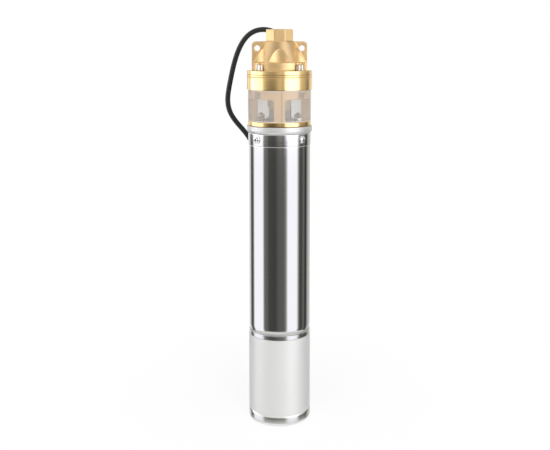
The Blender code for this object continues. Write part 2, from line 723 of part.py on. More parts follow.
def pump_body():
    """Ring with the impeller chamber, four columns round the seal's housing, and a lower ring."""
    floor = Z_IMPELLER_FACE
    house_low = Z_PLATE - SEAL_HOUSE_H
    channel_floor = floor - CHANNEL_DEPTH
    groove_z = Z_JOINT - BODY_GROOVE_Z
    seal_low = Z_JOINT - COVER_SEAL_H - 2 * GAP
    seal_out = BODY_R - COVER_SEAL_EDGE
    seal_in = seal_out - COVER_SEAL_W - 2 * GAP
    body = turned("pump_body", [
        (seal_in, Z_JOINT), (seal_in, seal_low), (seal_out, seal_low), (seal_out, Z_JOINT),
        (BODY_R, Z_JOINT),
        *groove(BODY_R, groove_z, BODY_GROOVE / 2, BODY_R - BODY_GROOVE),
        (BODY_R, Z_BODY_RING), (CAGE_R, Z_BODY_RING), (CAGE_R, Z_COLUMN),
        (LOWER_RING_R, Z_COLUMN), (LOWER_RING_R, Z_LOWER_RING), (CAGE_IN_R, Z_LOWER_RING),
        (CAGE_IN_R, Z_PLATE), (SEAL_HOUSE_R, Z_PLATE), (SEAL_HOUSE_R, house_low),
        (SEAL_NECK_R, house_low), (SEAL_NECK_R, house_low - SEAL_NECK_H),
        (SEAL_HOUSE_BORE_R, house_low - SEAL_NECK_H), (SEAL_HOUSE_BORE_R, Z_PLATE - THROAT_H),
        (IMPELLER_BORE_R + GAP, Z_PLATE - THROAT_H), (IMPELLER_BORE_R + GAP, floor),
        (CHANNEL_IN_R, floor), (CHANNEL_IN_R, channel_floor), (CHAMBER_R, channel_floor),
        (CHAMBER_R, Z_JOINT),
    ], BRASS_TURNED)
    cut(body, strainer_windows())
    cut(body, vertical_holes("body recesses", BODY_RECESS_R, BODY_RECESS_PITCH_R,
                             Z_PLATE - THROAT_H, Z_BODY_RING - BODY_RECESS_ROOF, bolt_azimuths()))
    cut(body, vertical_holes("body bolt holes", TAPPED_R, HEAD_BOLT_PITCH_R,
                             Z_PLATE + THROAT_H, Z_TOP, bolt_azimuths()))
    cut(body, vertical_holes("stud holes", TAPPED_R, STUD_PITCH_R,
                             Z_LIP, Z_COLUMN + LOWER_RING_H, bolt_azimuths()))
    cut(body, vertical_holes("cable way in body", CABLE_HOLE_R, CABLE_PITCH_R,
                             Z_LIP, Z_TOP, [CABLE_TURN], CABLE_STEPS))
    cut(body, vertical_holes("suction hole", SUCTION_HOLE_R, (CHANNEL_IN_R + CHAMBER_R) / 2,
                             Z_PLATE - THROAT_H, channel_floor + GAP, [SUCTION_TURN]))
    stripper = bmesh.new()
    inner, outer = IMPELLER_R + RUN_GAP, CHAMBER_R + GAP
    add_box(stripper, (-STRIPPER_W / 2, inner, channel_floor - GAP),
            (STRIPPER_W / 2, outer, Z_JOINT - 2 * GAP))
    join(body, tool("stripper", stripper))
    return body


def strainer_windows():
    """Four boxes with rounded edges that leave the columns between them."""
    bm = bmesh.new()
    reach = BODY_R + LIP_R
    half = COLUMN_W / 2
    for x_side in (-1, 1):
        for y_side in (-1, 1):
            corners = [sorted((side * half, side * reach)) for side in (x_side, y_side)]
            add_box(bm, (corners[0][0], corners[1][0], Z_COLUMN),
                    (corners[0][1], corners[1][1], Z_PLATE))
    bmesh.ops.bevel(bm, geom=bm.edges[:], offset=COLUMN_FILLET, offset_type="OFFSET",
                    segments=2, profile=0.5, affect="EDGES")
    return tool("strainer windows", bm)


def impeller():
    """Disc with a hub, whose rim carries a row of vanes on each face."""
    low, high = Z_IMPELLER_FACE + RUN_GAP, Z_IMPELLER_TOP - RUN_GAP
    root_r = IMPELLER_R - VANE_LENGTH
    disc = turned("impeller", [
        (HUB_R, high), (HUB_R, high - HUB_PROUD), (root_r - HUB_PROUD, high - HUB_PROUD),
        (root_r - HUB_PROUD, high), (IMPELLER_R, high), (IMPELLER_R, low),
        (root_r - HUB_PROUD, low), (root_r - HUB_PROUD, low + HUB_PROUD),
        (HUB_R, low + HUB_PROUD), (HUB_R, low), (IMPELLER_BORE_R, low), (IMPELLER_BORE_R, high),
    ], BRASS_TURNED, VANES)
    pockets = bmesh.new()
    width = math.tau * root_r / VANES - VANE_THICK
    for i in range(VANES):
        turn = Matrix.Rotation(math.tau * (i + 0.5) / VANES, 4, "Z")
        for z_low, z_high in ((Z_WEB + WEB_THICK / 2, high + HUB_R),
                              (low - HUB_R, Z_WEB - WEB_THICK / 2)):
            add_box(pockets, (root_r, -width / 2, z_low),
                    (IMPELLER_R + VANE_LENGTH, width / 2, z_high), turn)
    cut(disc, tool("vane pockets", pockets))
    keyway = bmesh.new()
    add_box(keyway, (-KEY_W / 2 - GAP, -KEY_OUT_R - GAP, low - HUB_R),
            (KEY_W / 2 + GAP, 0.0, high + HUB_R))
    cut(disc, tool("impeller keyway", keyway))
    return disc


def impeller_key():
    bm = bmesh.new()
    add_box(bm, (-KEY_W / 2, -KEY_OUT_R, Z_WEB - KEY_H / 2),
            (KEY_W / 2, -KEY_IN_R, Z_WEB + KEY_H / 2))
    bmesh.ops.bevel(bm, geom=bm.edges[:], offset=KEY_W / 10, segments=1, affect="EDGES")
    return mesh_object("impeller_key", bm, PARTS, STEEL)


def impeller_nut():
    low = Z_IMPELLER_TOP + GAP
    high = low + IMPELLER_NUT_H
    bm = bmesh.new()
    add_rod(bm, polygon_radius(IMPELLER_NUT_FLATS, 6), Vector((0, 0, low)), Vector((0, 0, high)), 6)
    nut = mesh_object("impeller_nut", bm, PARTS, STAINLESS)
    hole = bmesh.new()
    add_rod(hole, THREAD_R + GAP, Vector((0, 0, low - NUT_H)), Vector((0, 0, high + NUT_H)),
            INNER_STEPS)
    return cut(nut, tool("nut thread", hole))


def strainer():
    """Perforated sheet rolled into a sleeve round the columns."""
    columns, rows = SLOT_COUNT * 2, SLOT_ROW_COUNT * 2 + 1
    low, high = Z_COLUMN + GAP, Z_BODY_RING - GAP
    bm = bmesh.new()
    bmesh.ops.create_grid(bm, x_segments=columns, y_segments=rows, size=0.5)
    holes = []
    for face in bm.faces:
        centre = face.calc_center_median()
        column = int((centre.x + 0.5) * columns)
        row = int((centre.y + 0.5) * rows)
        if column % 2 and row % 2:
            holes.append(face)
    bmesh.ops.delete(bm, geom=holes, context="FACES")
    border = STRAINER_BORDER
    row_h = (high - low - 2 * border) / (rows - 2)
    for vert in bm.verts:
        turn = math.tau * (vert.co.x + 0.5)
        row = round((vert.co.y + 0.5) * rows)
        height = border + (row - 1) * row_h
        z = low if row == 0 else high if row == rows else low + height
        vert.co = (STRAINER_R * math.cos(turn), STRAINER_R * math.sin(turn), z)
    bmesh.ops.remove_doubles(bm, verts=bm.verts, dist=0.00001)
    bmesh.ops.recalc_face_normals(bm, faces=bm.faces[:])
    obj = mesh_object("strainer", bm, PARTS, STAINLESS)
    wall = obj.modifiers.new("sheet", "SOLIDIFY")
    wall.thickness = STRAINER_WALL
    wall.offset = -1.0
    return obj


def body_studs():
    """Studs with a washer and a nut that hold the pump body down on the motor flange."""
    seat = Z_COLUMN + GAP
    nut_low = seat + WASHER_H
    nut_top = nut_low + NUT_H
    for number, azimuth in enumerate(bolt_azimuths(), 1):
        stud = turned(f"body_stud_{number}", [
            (0.0, nut_top + STUD_PROUD), (BOLT_R - BOLT_CHAMFER, nut_top + STUD_PROUD),
            (BOLT_R, nut_top + STUD_PROUD - BOLT_CHAMFER), (BOLT_R, nut_low),
            (STUD_WASHER_R, nut_low), (STUD_WASHER_R, seat), (BOLT_R, seat),
            (BOLT_R, Z_LIP_TOP - STUD_DEPTH),
            (0.0, Z_LIP_TOP - STUD_DEPTH),
        ], STAINLESS, SMALL_STEPS)
        stud.location = around(STUD_PITCH_R, azimuth, 0.0)
        bm = bmesh.new()
        place = around(STUD_PITCH_R, azimuth, nut_low - WASHER_H / 2)
        add_rod(bm, polygon_radius(NUT_FLATS, 6), place,
                place + Vector((0.0, 0.0, NUT_H + WASHER_H / 2)), 6, math.radians(azimuth))
        join(stud, tool(f"stud nut {number}", bm))


# Motor flange, seal and bearings

def motor_flange():
    """Upper bearing bracket: satin lip, spigot in the tube, bearing and seal seats."""
    skirt = Z_CLAMP - BRACKET_SKIRT
    plate = Z_LIP - BRACKET_FLOOR
    bearing_top = Z_UPPER_BEARING + BEARING_W + GAP
    oil_top = bearing_top + OIL_ROOM_H
    flange = turned("motor_flange", [
        (BRACKET_HUB_R, Z_HUB_TOP), (BRACKET_HUB_R, Z_LIP_TOP), (LIP_R, Z_LIP_TOP),
        *arc(LIP_R - LIP_EDGE_R, Z_LIP + LIP_EDGE_R, LIP_EDGE_R, 0.0, -90.0, 3),
        (SPIGOT_R, Z_LIP),
        *groove(SPIGOT_R, skirt + SEAL_LAND, CORD_SEAL_R + GAP, SPIGOT_R - SEAL_GROOVE),
        (SPIGOT_R, skirt), (SPIGOT_R - SKIRT_WALL, skirt), (SPIGOT_R - SKIRT_WALL, plate),
        (BEARING_HOUSE_R, plate), (BEARING_HOUSE_R, Z_UPPER_BEARING),
        (BEARING_SEAT_R, Z_UPPER_BEARING), (BEARING_SEAT_R, bearing_top),
        (OIL_ROOM_R, bearing_top), (OIL_ROOM_R, oil_top), (SHAFT_ROOM_R, oil_top),
        (SHAFT_ROOM_R, Z_SEAT - GAP), (SEAT_R + GAP, Z_SEAT - GAP), (SEAT_R + GAP, Z_HUB_TOP),
    ], STEEL_SATIN)
    cut(flange, vertical_holes("stud threads", TAPPED_R, STUD_PITCH_R,
                               Z_LIP_TOP - STUD_DEPTH - GAP, Z_TOP, bolt_azimuths()))
    cut(flange, vertical_holes("bush pocket", BUSH_R + GAP, CABLE_PITCH_R,
                               Z_BUSH - GAP, Z_TOP, [CABLE_TURN], CABLE_STEPS))
    cut(flange, vertical_holes("core way", CORE_WAY_R, CORE_WAY_PITCH_R,
                               plate - LIP_H, Z_LIP_TOP - GAP, [CABLE_TURN]))
    cut(flange, clamp_screw_holes("clamp screw threads"))
    return flange


def clamp_screw_holes(name):
    bm = bmesh.new()
    inner = CLAMP_R - CLAMP_SCREW_LENGTH - GAP
    for azimuth in bolt_azimuths():
        add_rod(bm, CLAMP_SCREW_R + GAP, around(inner, azimuth, Z_CLAMP_SCREW),
                around(LIP_R, azimuth, Z_CLAMP_SCREW), SMALL_STEPS)
    return tool(name, bm)


def clamp_ring():
    ring = turned("clamp_ring", [
        (CLAMP_R, Z_CLAMP_TOP), (CLAMP_R, Z_CLAMP), (TUBE_IN_R, Z_CLAMP), (TUBE_IN_R, Z_CLAMP_TOP),
    ], STAINLESS)
    return cut(ring, clamp_screw_holes("clamp ring holes"))


def clamp_screws():
    """Button-head screws that point at the axis."""
    top = CLAMP_SCREW_HEAD_H
    for number, azimuth in enumerate(bolt_azimuths(), 1):
        dome = [(CLAMP_SCREW_HEAD_R * r, top * h)
                for r, h in ((0.6, 1.0), (0.9, 0.6), (1.0, 0.0))]
        screw = turned(f"clamp_screw_{number}", [
            (0.0, top), *dome, (CLAMP_SCREW_R, 0.0), (CLAMP_SCREW_R, -CLAMP_SCREW_LENGTH),
            (0.0, -CLAMP_SCREW_LENGTH),
        ], STAINLESS, SMALL_STEPS)
        seat = around(CLAMP_R + GAP, azimuth, Z_CLAMP_SCREW)
        outward = around(1.0, azimuth, 0.0)
        screw.location = seat
        screw.rotation_euler = outward.to_track_quat("Z", "Y").to_euler()
        bm = bmesh.new()
        add_rod(bm, polygon_radius(HEX_KEY_FLATS, 6), seat + outward * (top - HEX_KEY_DEPTH),
                seat + outward * (top + HEX_KEY_DEPTH), 6)
        cut(screw, tool(f"clamp screw socket {number}", bm))


def shaft_seal():
    turned("seal_seat", [
        (SEAT_R, Z_SEAT + SEAT_H), (SEAT_R, Z_SEAT), (SEAT_BORE_R, Z_SEAT),
        (SEAT_BORE_R, Z_SEAT + SEAT_H),
    ], CERAMIC, INNER_STEPS)
    ring_top = Z_SEAL_RING + SEAL_RING_H
    nose_top = Z_SEAL_RING + SEAL_NOSE
    turned("seal_ring", [
        (SEAL_RING_R, ring_top), (SEAL_RING_R, nose_top),
        (SEAL_RING_R - SEAL_NOSE, nose_top), (SEAL_RING_R - SEAL_NOSE, Z_SEAL_RING),
        (BEARING_IN_R, Z_SEAL_RING), (BEARING_IN_R, ring_top),
    ], CARBON, INNER_STEPS)
    points = []
    rise = SPRING_H - 2 * SPRING_WIRE_R
    count = SPRING_TURN_COUNT * SPRING_TURN_STEPS
    for i in range(count + 1):
        turn = math.tau * i / SPRING_TURN_STEPS
        z = Z_SPRING + SPRING_WIRE_R + rise * i / count
        points.append(Vector((SPRING_R * math.cos(turn), SPRING_R * math.sin(turn), z)))
    tube_along("seal_spring", points, SPRING_WIRE_R, STAINLESS, 1)
    turned("spring_clip", [
        (CLIP_R, Z_CLIP + CLIP_H), (CLIP_R, Z_CLIP), (BEARING_IN_R, Z_CLIP),
        (BEARING_IN_R, Z_CLIP + CLIP_H),
    ], STAINLESS, INNER_STEPS)


def race(side, low):
    """A ball race in a ring's outline: side is 1 for the outer ring and -1 for the inner one."""
    middle = low + BEARING_W / 2
    points = []
    for i in range(3):
        lift = math.sqrt(RACE_R ** 2 - RING_SHOULDER ** 2) * (1 - i)
        depth = math.sqrt(RACE_R ** 2 - lift ** 2)
        points.append((BALL_PITCH_R + side * depth, middle + lift))
    return points


def bearing(prefix, low):
    high = low + BEARING_W
    outer_shoulder = BALL_PITCH_R + RING_SHOULDER
    inner_shoulder = BALL_PITCH_R - RING_SHOULDER
    turned(f"{prefix}_bearing_outer", [
        (BEARING_OUT_R, high), (BEARING_OUT_R, low), (outer_shoulder, low),
        *reversed(race(1, low)), (outer_shoulder, high),
    ], STEEL, SEAL_STEPS)
    turned(f"{prefix}_bearing_inner", [
        (inner_shoulder, high), *race(-1, low), (inner_shoulder, low),
        (BEARING_IN_R, low), (BEARING_IN_R, high),
    ], STEEL, INNER_STEPS)
    middle = low + BEARING_W / 2
    half_w, half_h = CAGE_RING_W / 2, CAGE_RING_H / 2
    cage = turned(f"{prefix}_ball_cage", [
        (BALL_PITCH_R + half_w, middle + half_h), (BALL_PITCH_R + half_w, middle - half_h),
        (BALL_PITCH_R - half_w, middle - half_h), (BALL_PITCH_R - half_w, middle + half_h),
    ], STEEL, BALLS * 2)
    bm = bmesh.new()
    for i in range(BALLS):
        place = Matrix.Translation(around(BALL_PITCH_R, 360.0 / BALLS * i, middle))
        bmesh.ops.create_icosphere(bm, subdivisions=1, radius=BALL_R, matrix=place)
    join(cage, tool(f"{prefix} balls", bm))


# Motor

def motor_tube():
    """Polished tube whose lower edge is rolled in."""
    rolled = [(TUBE_R - TUBE_ROLL_IN * (i / 3) ** 2, Z_TUBE + TUBE_ROLL_H * (1 - i / 3))
              for i in range(4)]
    return turned("motor_tube", [
        (TUBE_R, Z_TUBE_TOP), *rolled, (TUBE_IN_R, Z_TUBE), (TUBE_IN_R, Z_TUBE_TOP),
    ], STAINLESS)


def shaft():
    bottom = Z_LOWER_BEARING - GAP
    thread_z = Z_IMPELLER_TOP - RUN_GAP
    body = turned("shaft", [
        (0.0, Z_SHAFT_TOP), (THREAD_R, Z_SHAFT_TOP), (THREAD_R, thread_z),
        (SHAFT_TOP_R, thread_z), (SHAFT_TOP_R, Z_SHAFT_STEP), (SHAFT_R, Z_SHAFT_STEP),
        (SHAFT_R, bottom), (0.0, bottom),
    ], STEEL, INNER_STEPS)
    bm = bmesh.new()
    add_box(bm, (-KEY_W / 2 - GAP, -HUB_R, Z_WEB - KEY_H / 2 - GAP),
            (KEY_W / 2 + GAP, -KEY_IN_R + GAP, Z_WEB + KEY_H / 2 + GAP))
    return cut(body, tool("shaft keyway", bm))


def rotor_core():
    low, high = Z_CORE - ROTOR_LONGER, Z_CORE_TOP + ROTOR_LONGER
    outer, inner = ROTOR_R - END_RING_STEP, ROTOR_R - END_RING_STEP - END_RING_W
    return turned("rotor_core", [
        (outer, high + END_RING_H), (outer, high), (ROTOR_R, high), (ROTOR_R, low),
        (outer, low), (outer, low - END_RING_H), (inner, low - END_RING_H),
        (inner, low), (BEARING_IN_R, low), (BEARING_IN_R, high),
        (inner, high), (inner, high + END_RING_H),
    ], STEEL, INNER_STEPS)


def stator_core():
    return turned("stator_core", [
        (SPIGOT_R, Z_CORE_TOP), (SPIGOT_R, Z_CORE), (CORE_IN_R, Z_CORE), (CORE_IN_R, Z_CORE_TOP),
    ], STEEL)


def winding(name, low):
    high = low + WINDING_H
    edge = WINDING_EDGE
    return turned(name, [
        *arc(WINDING_OUT_R - edge, high - edge, edge, 90.0, 0.0, 1),
        *arc(WINDING_OUT_R - edge, low + edge, edge, 0.0, -90.0, 1),
        *arc(WINDING_IN_R + edge, low + edge, edge, -90.0, -180.0, 1),
        *arc(WINDING_IN_R + edge, high - edge, edge, 180.0, 90.0, 1),
    ], COPPER, INNER_STEPS)


def lower_bracket():
    """Closes the tube, joins the lower shell to it and holds the lower bearing."""
    top = Z_TUBE + LOWER_SPIGOT_UP
    bottom = Z_RIM_TOP - LOWER_SPIGOT_DOWN
    rim_high, rim_low = Z_TUBE - GAP, Z_RIM_TOP + GAP
    web_high = Z_TUBE + LOWER_WEB_H + SEAL_LAND / 2
    web_low = web_high - LOWER_WEB_H
    seat_top = Z_LOWER_BEARING + BEARING_W
    room_r = BALL_PITCH_R
    bracket = turned("lower_bracket", [
        (SPIGOT_R, top),
        *groove(SPIGOT_R, top - SEAL_LAND, CORD_SEAL_R + GAP, SPIGOT_R - SEAL_GROOVE),
        (SPIGOT_R, rim_high), (LOWER_RIM_R, rim_high), (LOWER_RIM_R, rim_low),
        (SHELL_SPIGOT_R, rim_low),
        *groove(SHELL_SPIGOT_R, bottom + SEAL_LAND, CORD_SEAL_R + GAP,
                SHELL_SPIGOT_R - SEAL_GROOVE),
        (SHELL_SPIGOT_R, bottom), (SHELL_SPIGOT_R - LOWER_WALL, bottom),
        (SHELL_SPIGOT_R - LOWER_WALL, web_low), (WIRE_HOLE_R, web_low), (WIRE_HOLE_R, web_high),
        (room_r, Z_LOWER_BEARING - 2 * GAP), (BEARING_SEAT_R, Z_LOWER_BEARING - GAP),
        (BEARING_SEAT_R, seat_top), (BEARING_HOUSE_R, seat_top),
        (BEARING_HOUSE_R, web_high), (SHELL_SPIGOT_R - LOWER_WALL, web_high),
        (SHELL_SPIGOT_R - LOWER_WALL, top),
    ], STEEL_SATIN, SEAL_STEPS)
    return bracket


def lower_shell():
    """Housing of the capacitor: a polished rim above the seat of the satin band."""
    return turned("lower_shell", [
        (RIM_R, Z_RIM_TOP), (RIM_R, Z_RIM), (SHELL_R, Z_RIM), (SHELL_R, CAP_FLOOR + GAP),
        (SHELL_IN_R, CAP_FLOOR + GAP), (SHELL_IN_R, Z_RIM_TOP),
    ], STAINLESS)


def satin_band():
    return turned("satin_band", [
        (SATIN_R, Z_SATIN + SATIN_H), (SATIN_R, Z_SATIN), (SATIN_R - SATIN_WALL, Z_SATIN),
        (SATIN_R - SATIN_WALL, Z_SATIN + SATIN_H),
    ], SATIN)


def bottom_cap():
    """Cup round the foot of the lower shell, with a flat base and a rounded edge."""
    spigot_top = CAP_FLOOR + CAP_SPIGOT_H
    spigot_in_r = SHELL_SPIGOT_R - CAP_SPIGOT_WALL
    wall_r = CAP_R - CAP_SLOT_WALL
    return turned("bottom_cap", [
        (0.0, CAP_FLOOR), (spigot_in_r, CAP_FLOOR), (spigot_in_r, spigot_top),
        (SHELL_SPIGOT_R, spigot_top),
        *groove(SHELL_SPIGOT_R, CAP_FLOOR + CAP_SPIGOT_H / 2, CORD_SEAL_R + GAP,
                SHELL_SPIGOT_R - SEAL_GROOVE),
        (SHELL_SPIGOT_R, CAP_FLOOR), (wall_r, CAP_FLOOR), (wall_r, Z_CAP), (CAP_R, Z_CAP),
        *arc(CAP_R - CAP_EDGE_R, CAP_EDGE_R, CAP_EDGE_R, 0.0, -90.0), (0.0, 0.0),
    ], STAINLESS)


def capacitor():
    low = CAP_FLOOR + GAP
    high = low + CAPACITOR_H
    can = turned("capacitor", [
        (0.0, high), (CAPACITOR_R - CAPACITOR_EDGE, high), (CAPACITOR_R, high - CAPACITOR_EDGE),
        (CAPACITOR_R, low + CAPACITOR_EDGE), (CAPACITOR_R - CAPACITOR_EDGE, low), (0.0, low),
    ], PLASTIC, INNER_STEPS)
    bm = bmesh.new()
    for side in (-1, 1):
        centre = side * TERMINAL_X
        add_box(bm, (centre - WASHER_H / 2, -TERMINAL_SIZE / 2, high - TERMINAL_SIZE / 2),
                (centre + WASHER_H / 2, TERMINAL_SIZE / 2, high + TERMINAL_SIZE))
    return join(can, tool("capacitor terminals", bm))


def capacitor_holder():
    low = CAP_FLOOR + GAP + HOLDER_LIFT
    holder = turned("capacitor_holder", [
        (SHELL_SPIGOT_R, low + HOLDER_H), (SHELL_SPIGOT_R, low), (CAPACITOR_R + GAP, low),
        (CAPACITOR_R + GAP, low + HOLDER_H),
    ], PLASTIC, INNER_STEPS)
    return cut(holder, vertical_holes("holder slots", HOLDER_SLOT_R, (CAPACITOR_R + SHELL_SPIGOT_R) / 2,
                                      low - HOLDER_H, low + 2 * HOLDER_H, bolt_azimuths(),
                                      SMALL_STEPS))


# Cable

def cable_gland():
    """Hexagon gland in the notch behind the outlet, with a cup for the grommet."""
    spigot_z = Z_BAND - GLAND_SPIGOT_H
    cup_floor = Z_GLAND_TOP - GLAND_CUP_DEPTH
    gland = turned("cable_gland", [
        (0.0, Z_GLAND_TOP), (GLAND_NECK_R, Z_GLAND_TOP), (GLAND_NECK_R, Z_GLAND),
        (GLAND_SPIGOT_R, Z_GLAND), (GLAND_SPIGOT_R, spigot_z), (0.0, spigot_z),
    ], BRASS_TURNED, CABLE_STEPS)
    gland.location = around(CABLE_PITCH_R, CABLE_TURN, 0.0)
    hexagon = bmesh.new()
    add_rod(hexagon, polygon_radius(GLAND_FLATS, 6), around(CABLE_PITCH_R, CABLE_TURN, Z_GLAND),
            around(CABLE_PITCH_R, CABLE_TURN, Z_GLAND + GLAND_HEX_H), 6)
    join(gland, tool("gland hexagon", hexagon))
    cut(gland, vertical_holes("gland bore", CABLE_HOLE_R, CABLE_PITCH_R, spigot_z - GLAND_H,
                              Z_GLAND_TOP, [CABLE_TURN], CABLE_STEPS))
    cut(gland, vertical_holes("gland cup", GLAND_CUP_R, CABLE_PITCH_R, cup_floor,
                              Z_GLAND_TOP + GLAND_H, [CABLE_TURN], CABLE_STEPS))
    return gland


def cable_grommet():
    """Tapered rubber sleeve that keeps the cable from kinking at the gland."""
    high = Z_GROMMET + GROMMET_H
    grommet = turned("cable_grommet", [
        (GROMMET_TIP_R, high), (GLAND_CUP_R - GAP, Z_GROMMET + GLAND_CUP_DEPTH),
        (GLAND_CUP_R - GAP, Z_GROMMET), (CABLE_HOLE_R, Z_GROMMET), (CABLE_HOLE_R, high),
    ], RUBBER, CABLE_STEPS)
    grommet.location = around(CABLE_PITCH_R, CABLE_TURN, 0.0)
    return grommet


def motor_lead():
    """The cable's run inside the pump, from the gland down a column to the motor flange."""
    bm = bmesh.new()
    add_rod(bm, CABLE_R, around(CABLE_PITCH_R, CABLE_TURN, Z_BUSH + GAP),
            around(CABLE_PITCH_R, CABLE_TURN, Z_GROMMET + GROMMET_H - 2 * GAP), CABLE_STEPS)
    mesh_object("motor_lead", bm, PARTS, CABLE_SHEATH)
    bush = turned("lead_bush", [
        (BUSH_R, Z_LIP_TOP - GAP), (BUSH_R, Z_BUSH), (CABLE_HOLE_R, Z_BUSH),
        (CABLE_HOLE_R, Z_LIP_TOP - GAP),
    ], RUBBER, CABLE_STEPS)
    bush.location = around(CABLE_PITCH_R, CABLE_TURN, 0.0)


def power_cable():
    coil_side = COIL_CENTRE - Vector((COIL_R, 0.0, 0.0))
    route = [CABLE_START + Vector(point) * MM for point in CABLE_BEND]
    route += [coil_side + Vector(point) * MM for point in CABLE_FALL]
    tube_along("power_cable", smooth_route(route, CABLE_TUBE_STEPS), CABLE_R, CABLE_SHEATH)


def cable_coil():
    """Outer shape of the turns on the floor, held by one tie."""
    outer, inner = COIL_R + CABLE_R + GAP, COIL_R - CABLE_R - GAP
    low, high = COIL_FLOOR, COIL_FLOOR + COIL_H
    edge = COIL_EDGE
    coil = turned("cable_coil", [
        *arc(outer - edge, high - edge, edge, 90.0, 0.0, 2),
        *arc(outer - edge, low + edge, edge, 0.0, -90.0, 2),
        *arc(inner + edge, low + edge, edge, -90.0, -180.0, 2),
        *arc(inner + edge, high - edge, edge, 180.0, 90.0, 2),
    ], CABLE_SHEATH, SEAL_STEPS)
    coil.location = COIL_CENTRE
    bm = bmesh.new()
    room, thick = GAP, TIE_THICK
    add_box(bm, (-TIE_W / 2, inner - 2 * room - thick, low - room - thick),
            (TIE_W / 2, outer + room + thick, high + room + thick))
    tie = mesh_object("coil_tie", bm, PARTS, TIE)
    tie.location = COIL_CENTRE
    hole = bmesh.new()
    add_box(hole, (-TIE_W, inner - 2 * room, low - room), (TIE_W, outer + room, high + room))
    inside = tool("tie opening", hole)
    inside.location = COIL_CENTRE
    cut(tie, inside)


def bare_cores():
    """The stripped end, which leaves the coil beside the pump's foot and splays on the floor."""
    outer = COIL_R + CABLE_R + GAP
    nearest = COIL_R - BARE_CORE_RING - BARE_CORE_R
    tail = math.sqrt(outer ** 2 - nearest ** 2) + 2 * GAP
    start = COIL_CENTRE + Vector((COIL_R, -tail, BARE_CORE_TOP))
    floor = BARE_CORE_R + GAP - BARE_CORE_TOP
    looks = (CORE_BROWN, CORE_BLUE, CORE_EARTH)
    for number, (colour, look) in enumerate(zip(BARE_CORES, looks)):
        turn = math.radians(210.0 - 120.0 * number)
        bunched = Vector((BARE_CORE_RING * math.cos(turn), 0.0, BARE_CORE_RING * math.sin(turn)))
        splayed = Vector(((number - 1) * BARE_CORE_SPLAY, 0.0, floor))
        points = []
        for i in range(6):
            t = i / 5
            forward = Vector((0.0, -BARE_CORE_LENGTH * t, 0.0))
            points.append(start + forward + bunched.lerp(splayed, t * t * (3 - 2 * t)))
        tube_along(f"core_{colour}", points, BARE_CORE_R, look, 1)


# Assembly

def gather(name, children):
    """Parent the pieces that turn together to an empty on the shaft's axis."""
    empty = bpy.data.objects.new(name, None)
    PARTS.objects.link(empty)
    for child in children:
        PARTS.objects[child].parent = empty


def main():
    delivery_head()
    head_bolts()
    cover_seal()
    pump_body()
    impeller()
    impeller_key()
    impeller_nut()
    strainer()
    body_studs()
    motor_flange()
    clamp_ring()
    clamp_screws()
    shaft_seal()
    bearing("upper", Z_UPPER_BEARING)
    bearing("lower", Z_LOWER_BEARING)
    motor_tube()
    shaft()
    rotor_core()
    stator_core()
    winding("upper_winding", Z_CORE_TOP + GAP)
    winding("lower_winding", Z_CORE - GAP - WINDING_H)
    lower_bracket()
    seal_ring("tube_upper_seal", SPIGOT_R, Z_CLAMP - BRACKET_SKIRT + SEAL_LAND)
    seal_ring("tube_lower_seal", SPIGOT_R, Z_TUBE + LOWER_SPIGOT_UP - SEAL_LAND)
    seal_ring("shell_seal", SHELL_SPIGOT_R, Z_RIM_TOP - LOWER_SPIGOT_DOWN + SEAL_LAND)
    seal_ring("cap_seal", SHELL_SPIGOT_R, CAP_FLOOR + CAP_SPIGOT_H / 2)
    lower_shell()
    satin_band()
    bottom_cap()
    capacitor()
    capacitor_holder()
    cable_gland()
    cable_grommet()
    motor_lead()
    power_cable()
    cable_coil()
    bare_cores()
    gather("rotor_axis", ["shaft", "rotor_core", "impeller", "impeller_key", "impeller_nut",
                          "seal_ring", "seal_spring", "spring_clip", "upper_bearing_inner",
                          "lower_bearing_inner"])
    gather("upper_cage_axis", ["upper_ball_cage"])
    gather("lower_cage_axis", ["lower_ball_cage"])


for old in list(bpy.data.objects):
    bpy.data.objects.remove(old)
PARTS = new_collection("borehole pump")
CUTTERS = new_collection("cutters")
BRASS_CAST = material("cast brass", "dcbc88", 1.0, 0.42)
BRASS_TURNED = material("turned brass", "d9b878", 1.0, 0.2)
STAINLESS = material("polished stainless steel", "dcdcda", 1.0, 0.12)
STEEL_SATIN = material("satin steel", "d2d2d0", 1.0, 0.35)
SATIN = material("satin aluminium band", "e2e1de", 0.9, 0.45)
STEEL = material("machine steel", "a5a6a8", 1.0, 0.3)
COPPER = material("varnished copper windings", "b0673a", 0.8, 0.4)
CERAMIC = material("seal ceramic", "ece8dc", 0.0, 0.3)
CARBON = material("seal carbon", "2c2c2e", 0.0, 0.5)
RUBBER = material("black rubber", "1d1d1e", 0.0, 0.6)
PLASTIC = material("light grey plastic", "b9bbbb", 0.0, 0.45)
CABLE_SHEATH = material("cable rubber sheath", "202021", 0.0, 0.45)
TIE = material("nylon tie", "2a2a2b", 0.0, 0.4)
CORE_BROWN = material("brown core insulation", "6b4026", 0.0, 0.4)
CORE_BLUE = material("blue core insulation", "2a62a8", 0.0, 0.4)
CORE_EARTH = material("earth core insulation", "7aa52c", 0.0, 0.4)
main()
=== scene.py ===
import json
import math
from functools import partial

import bmesh
import bpy
from bpy.props import FloatProperty, FloatVectorProperty, PointerProperty
from mathutils import Matrix, Vector


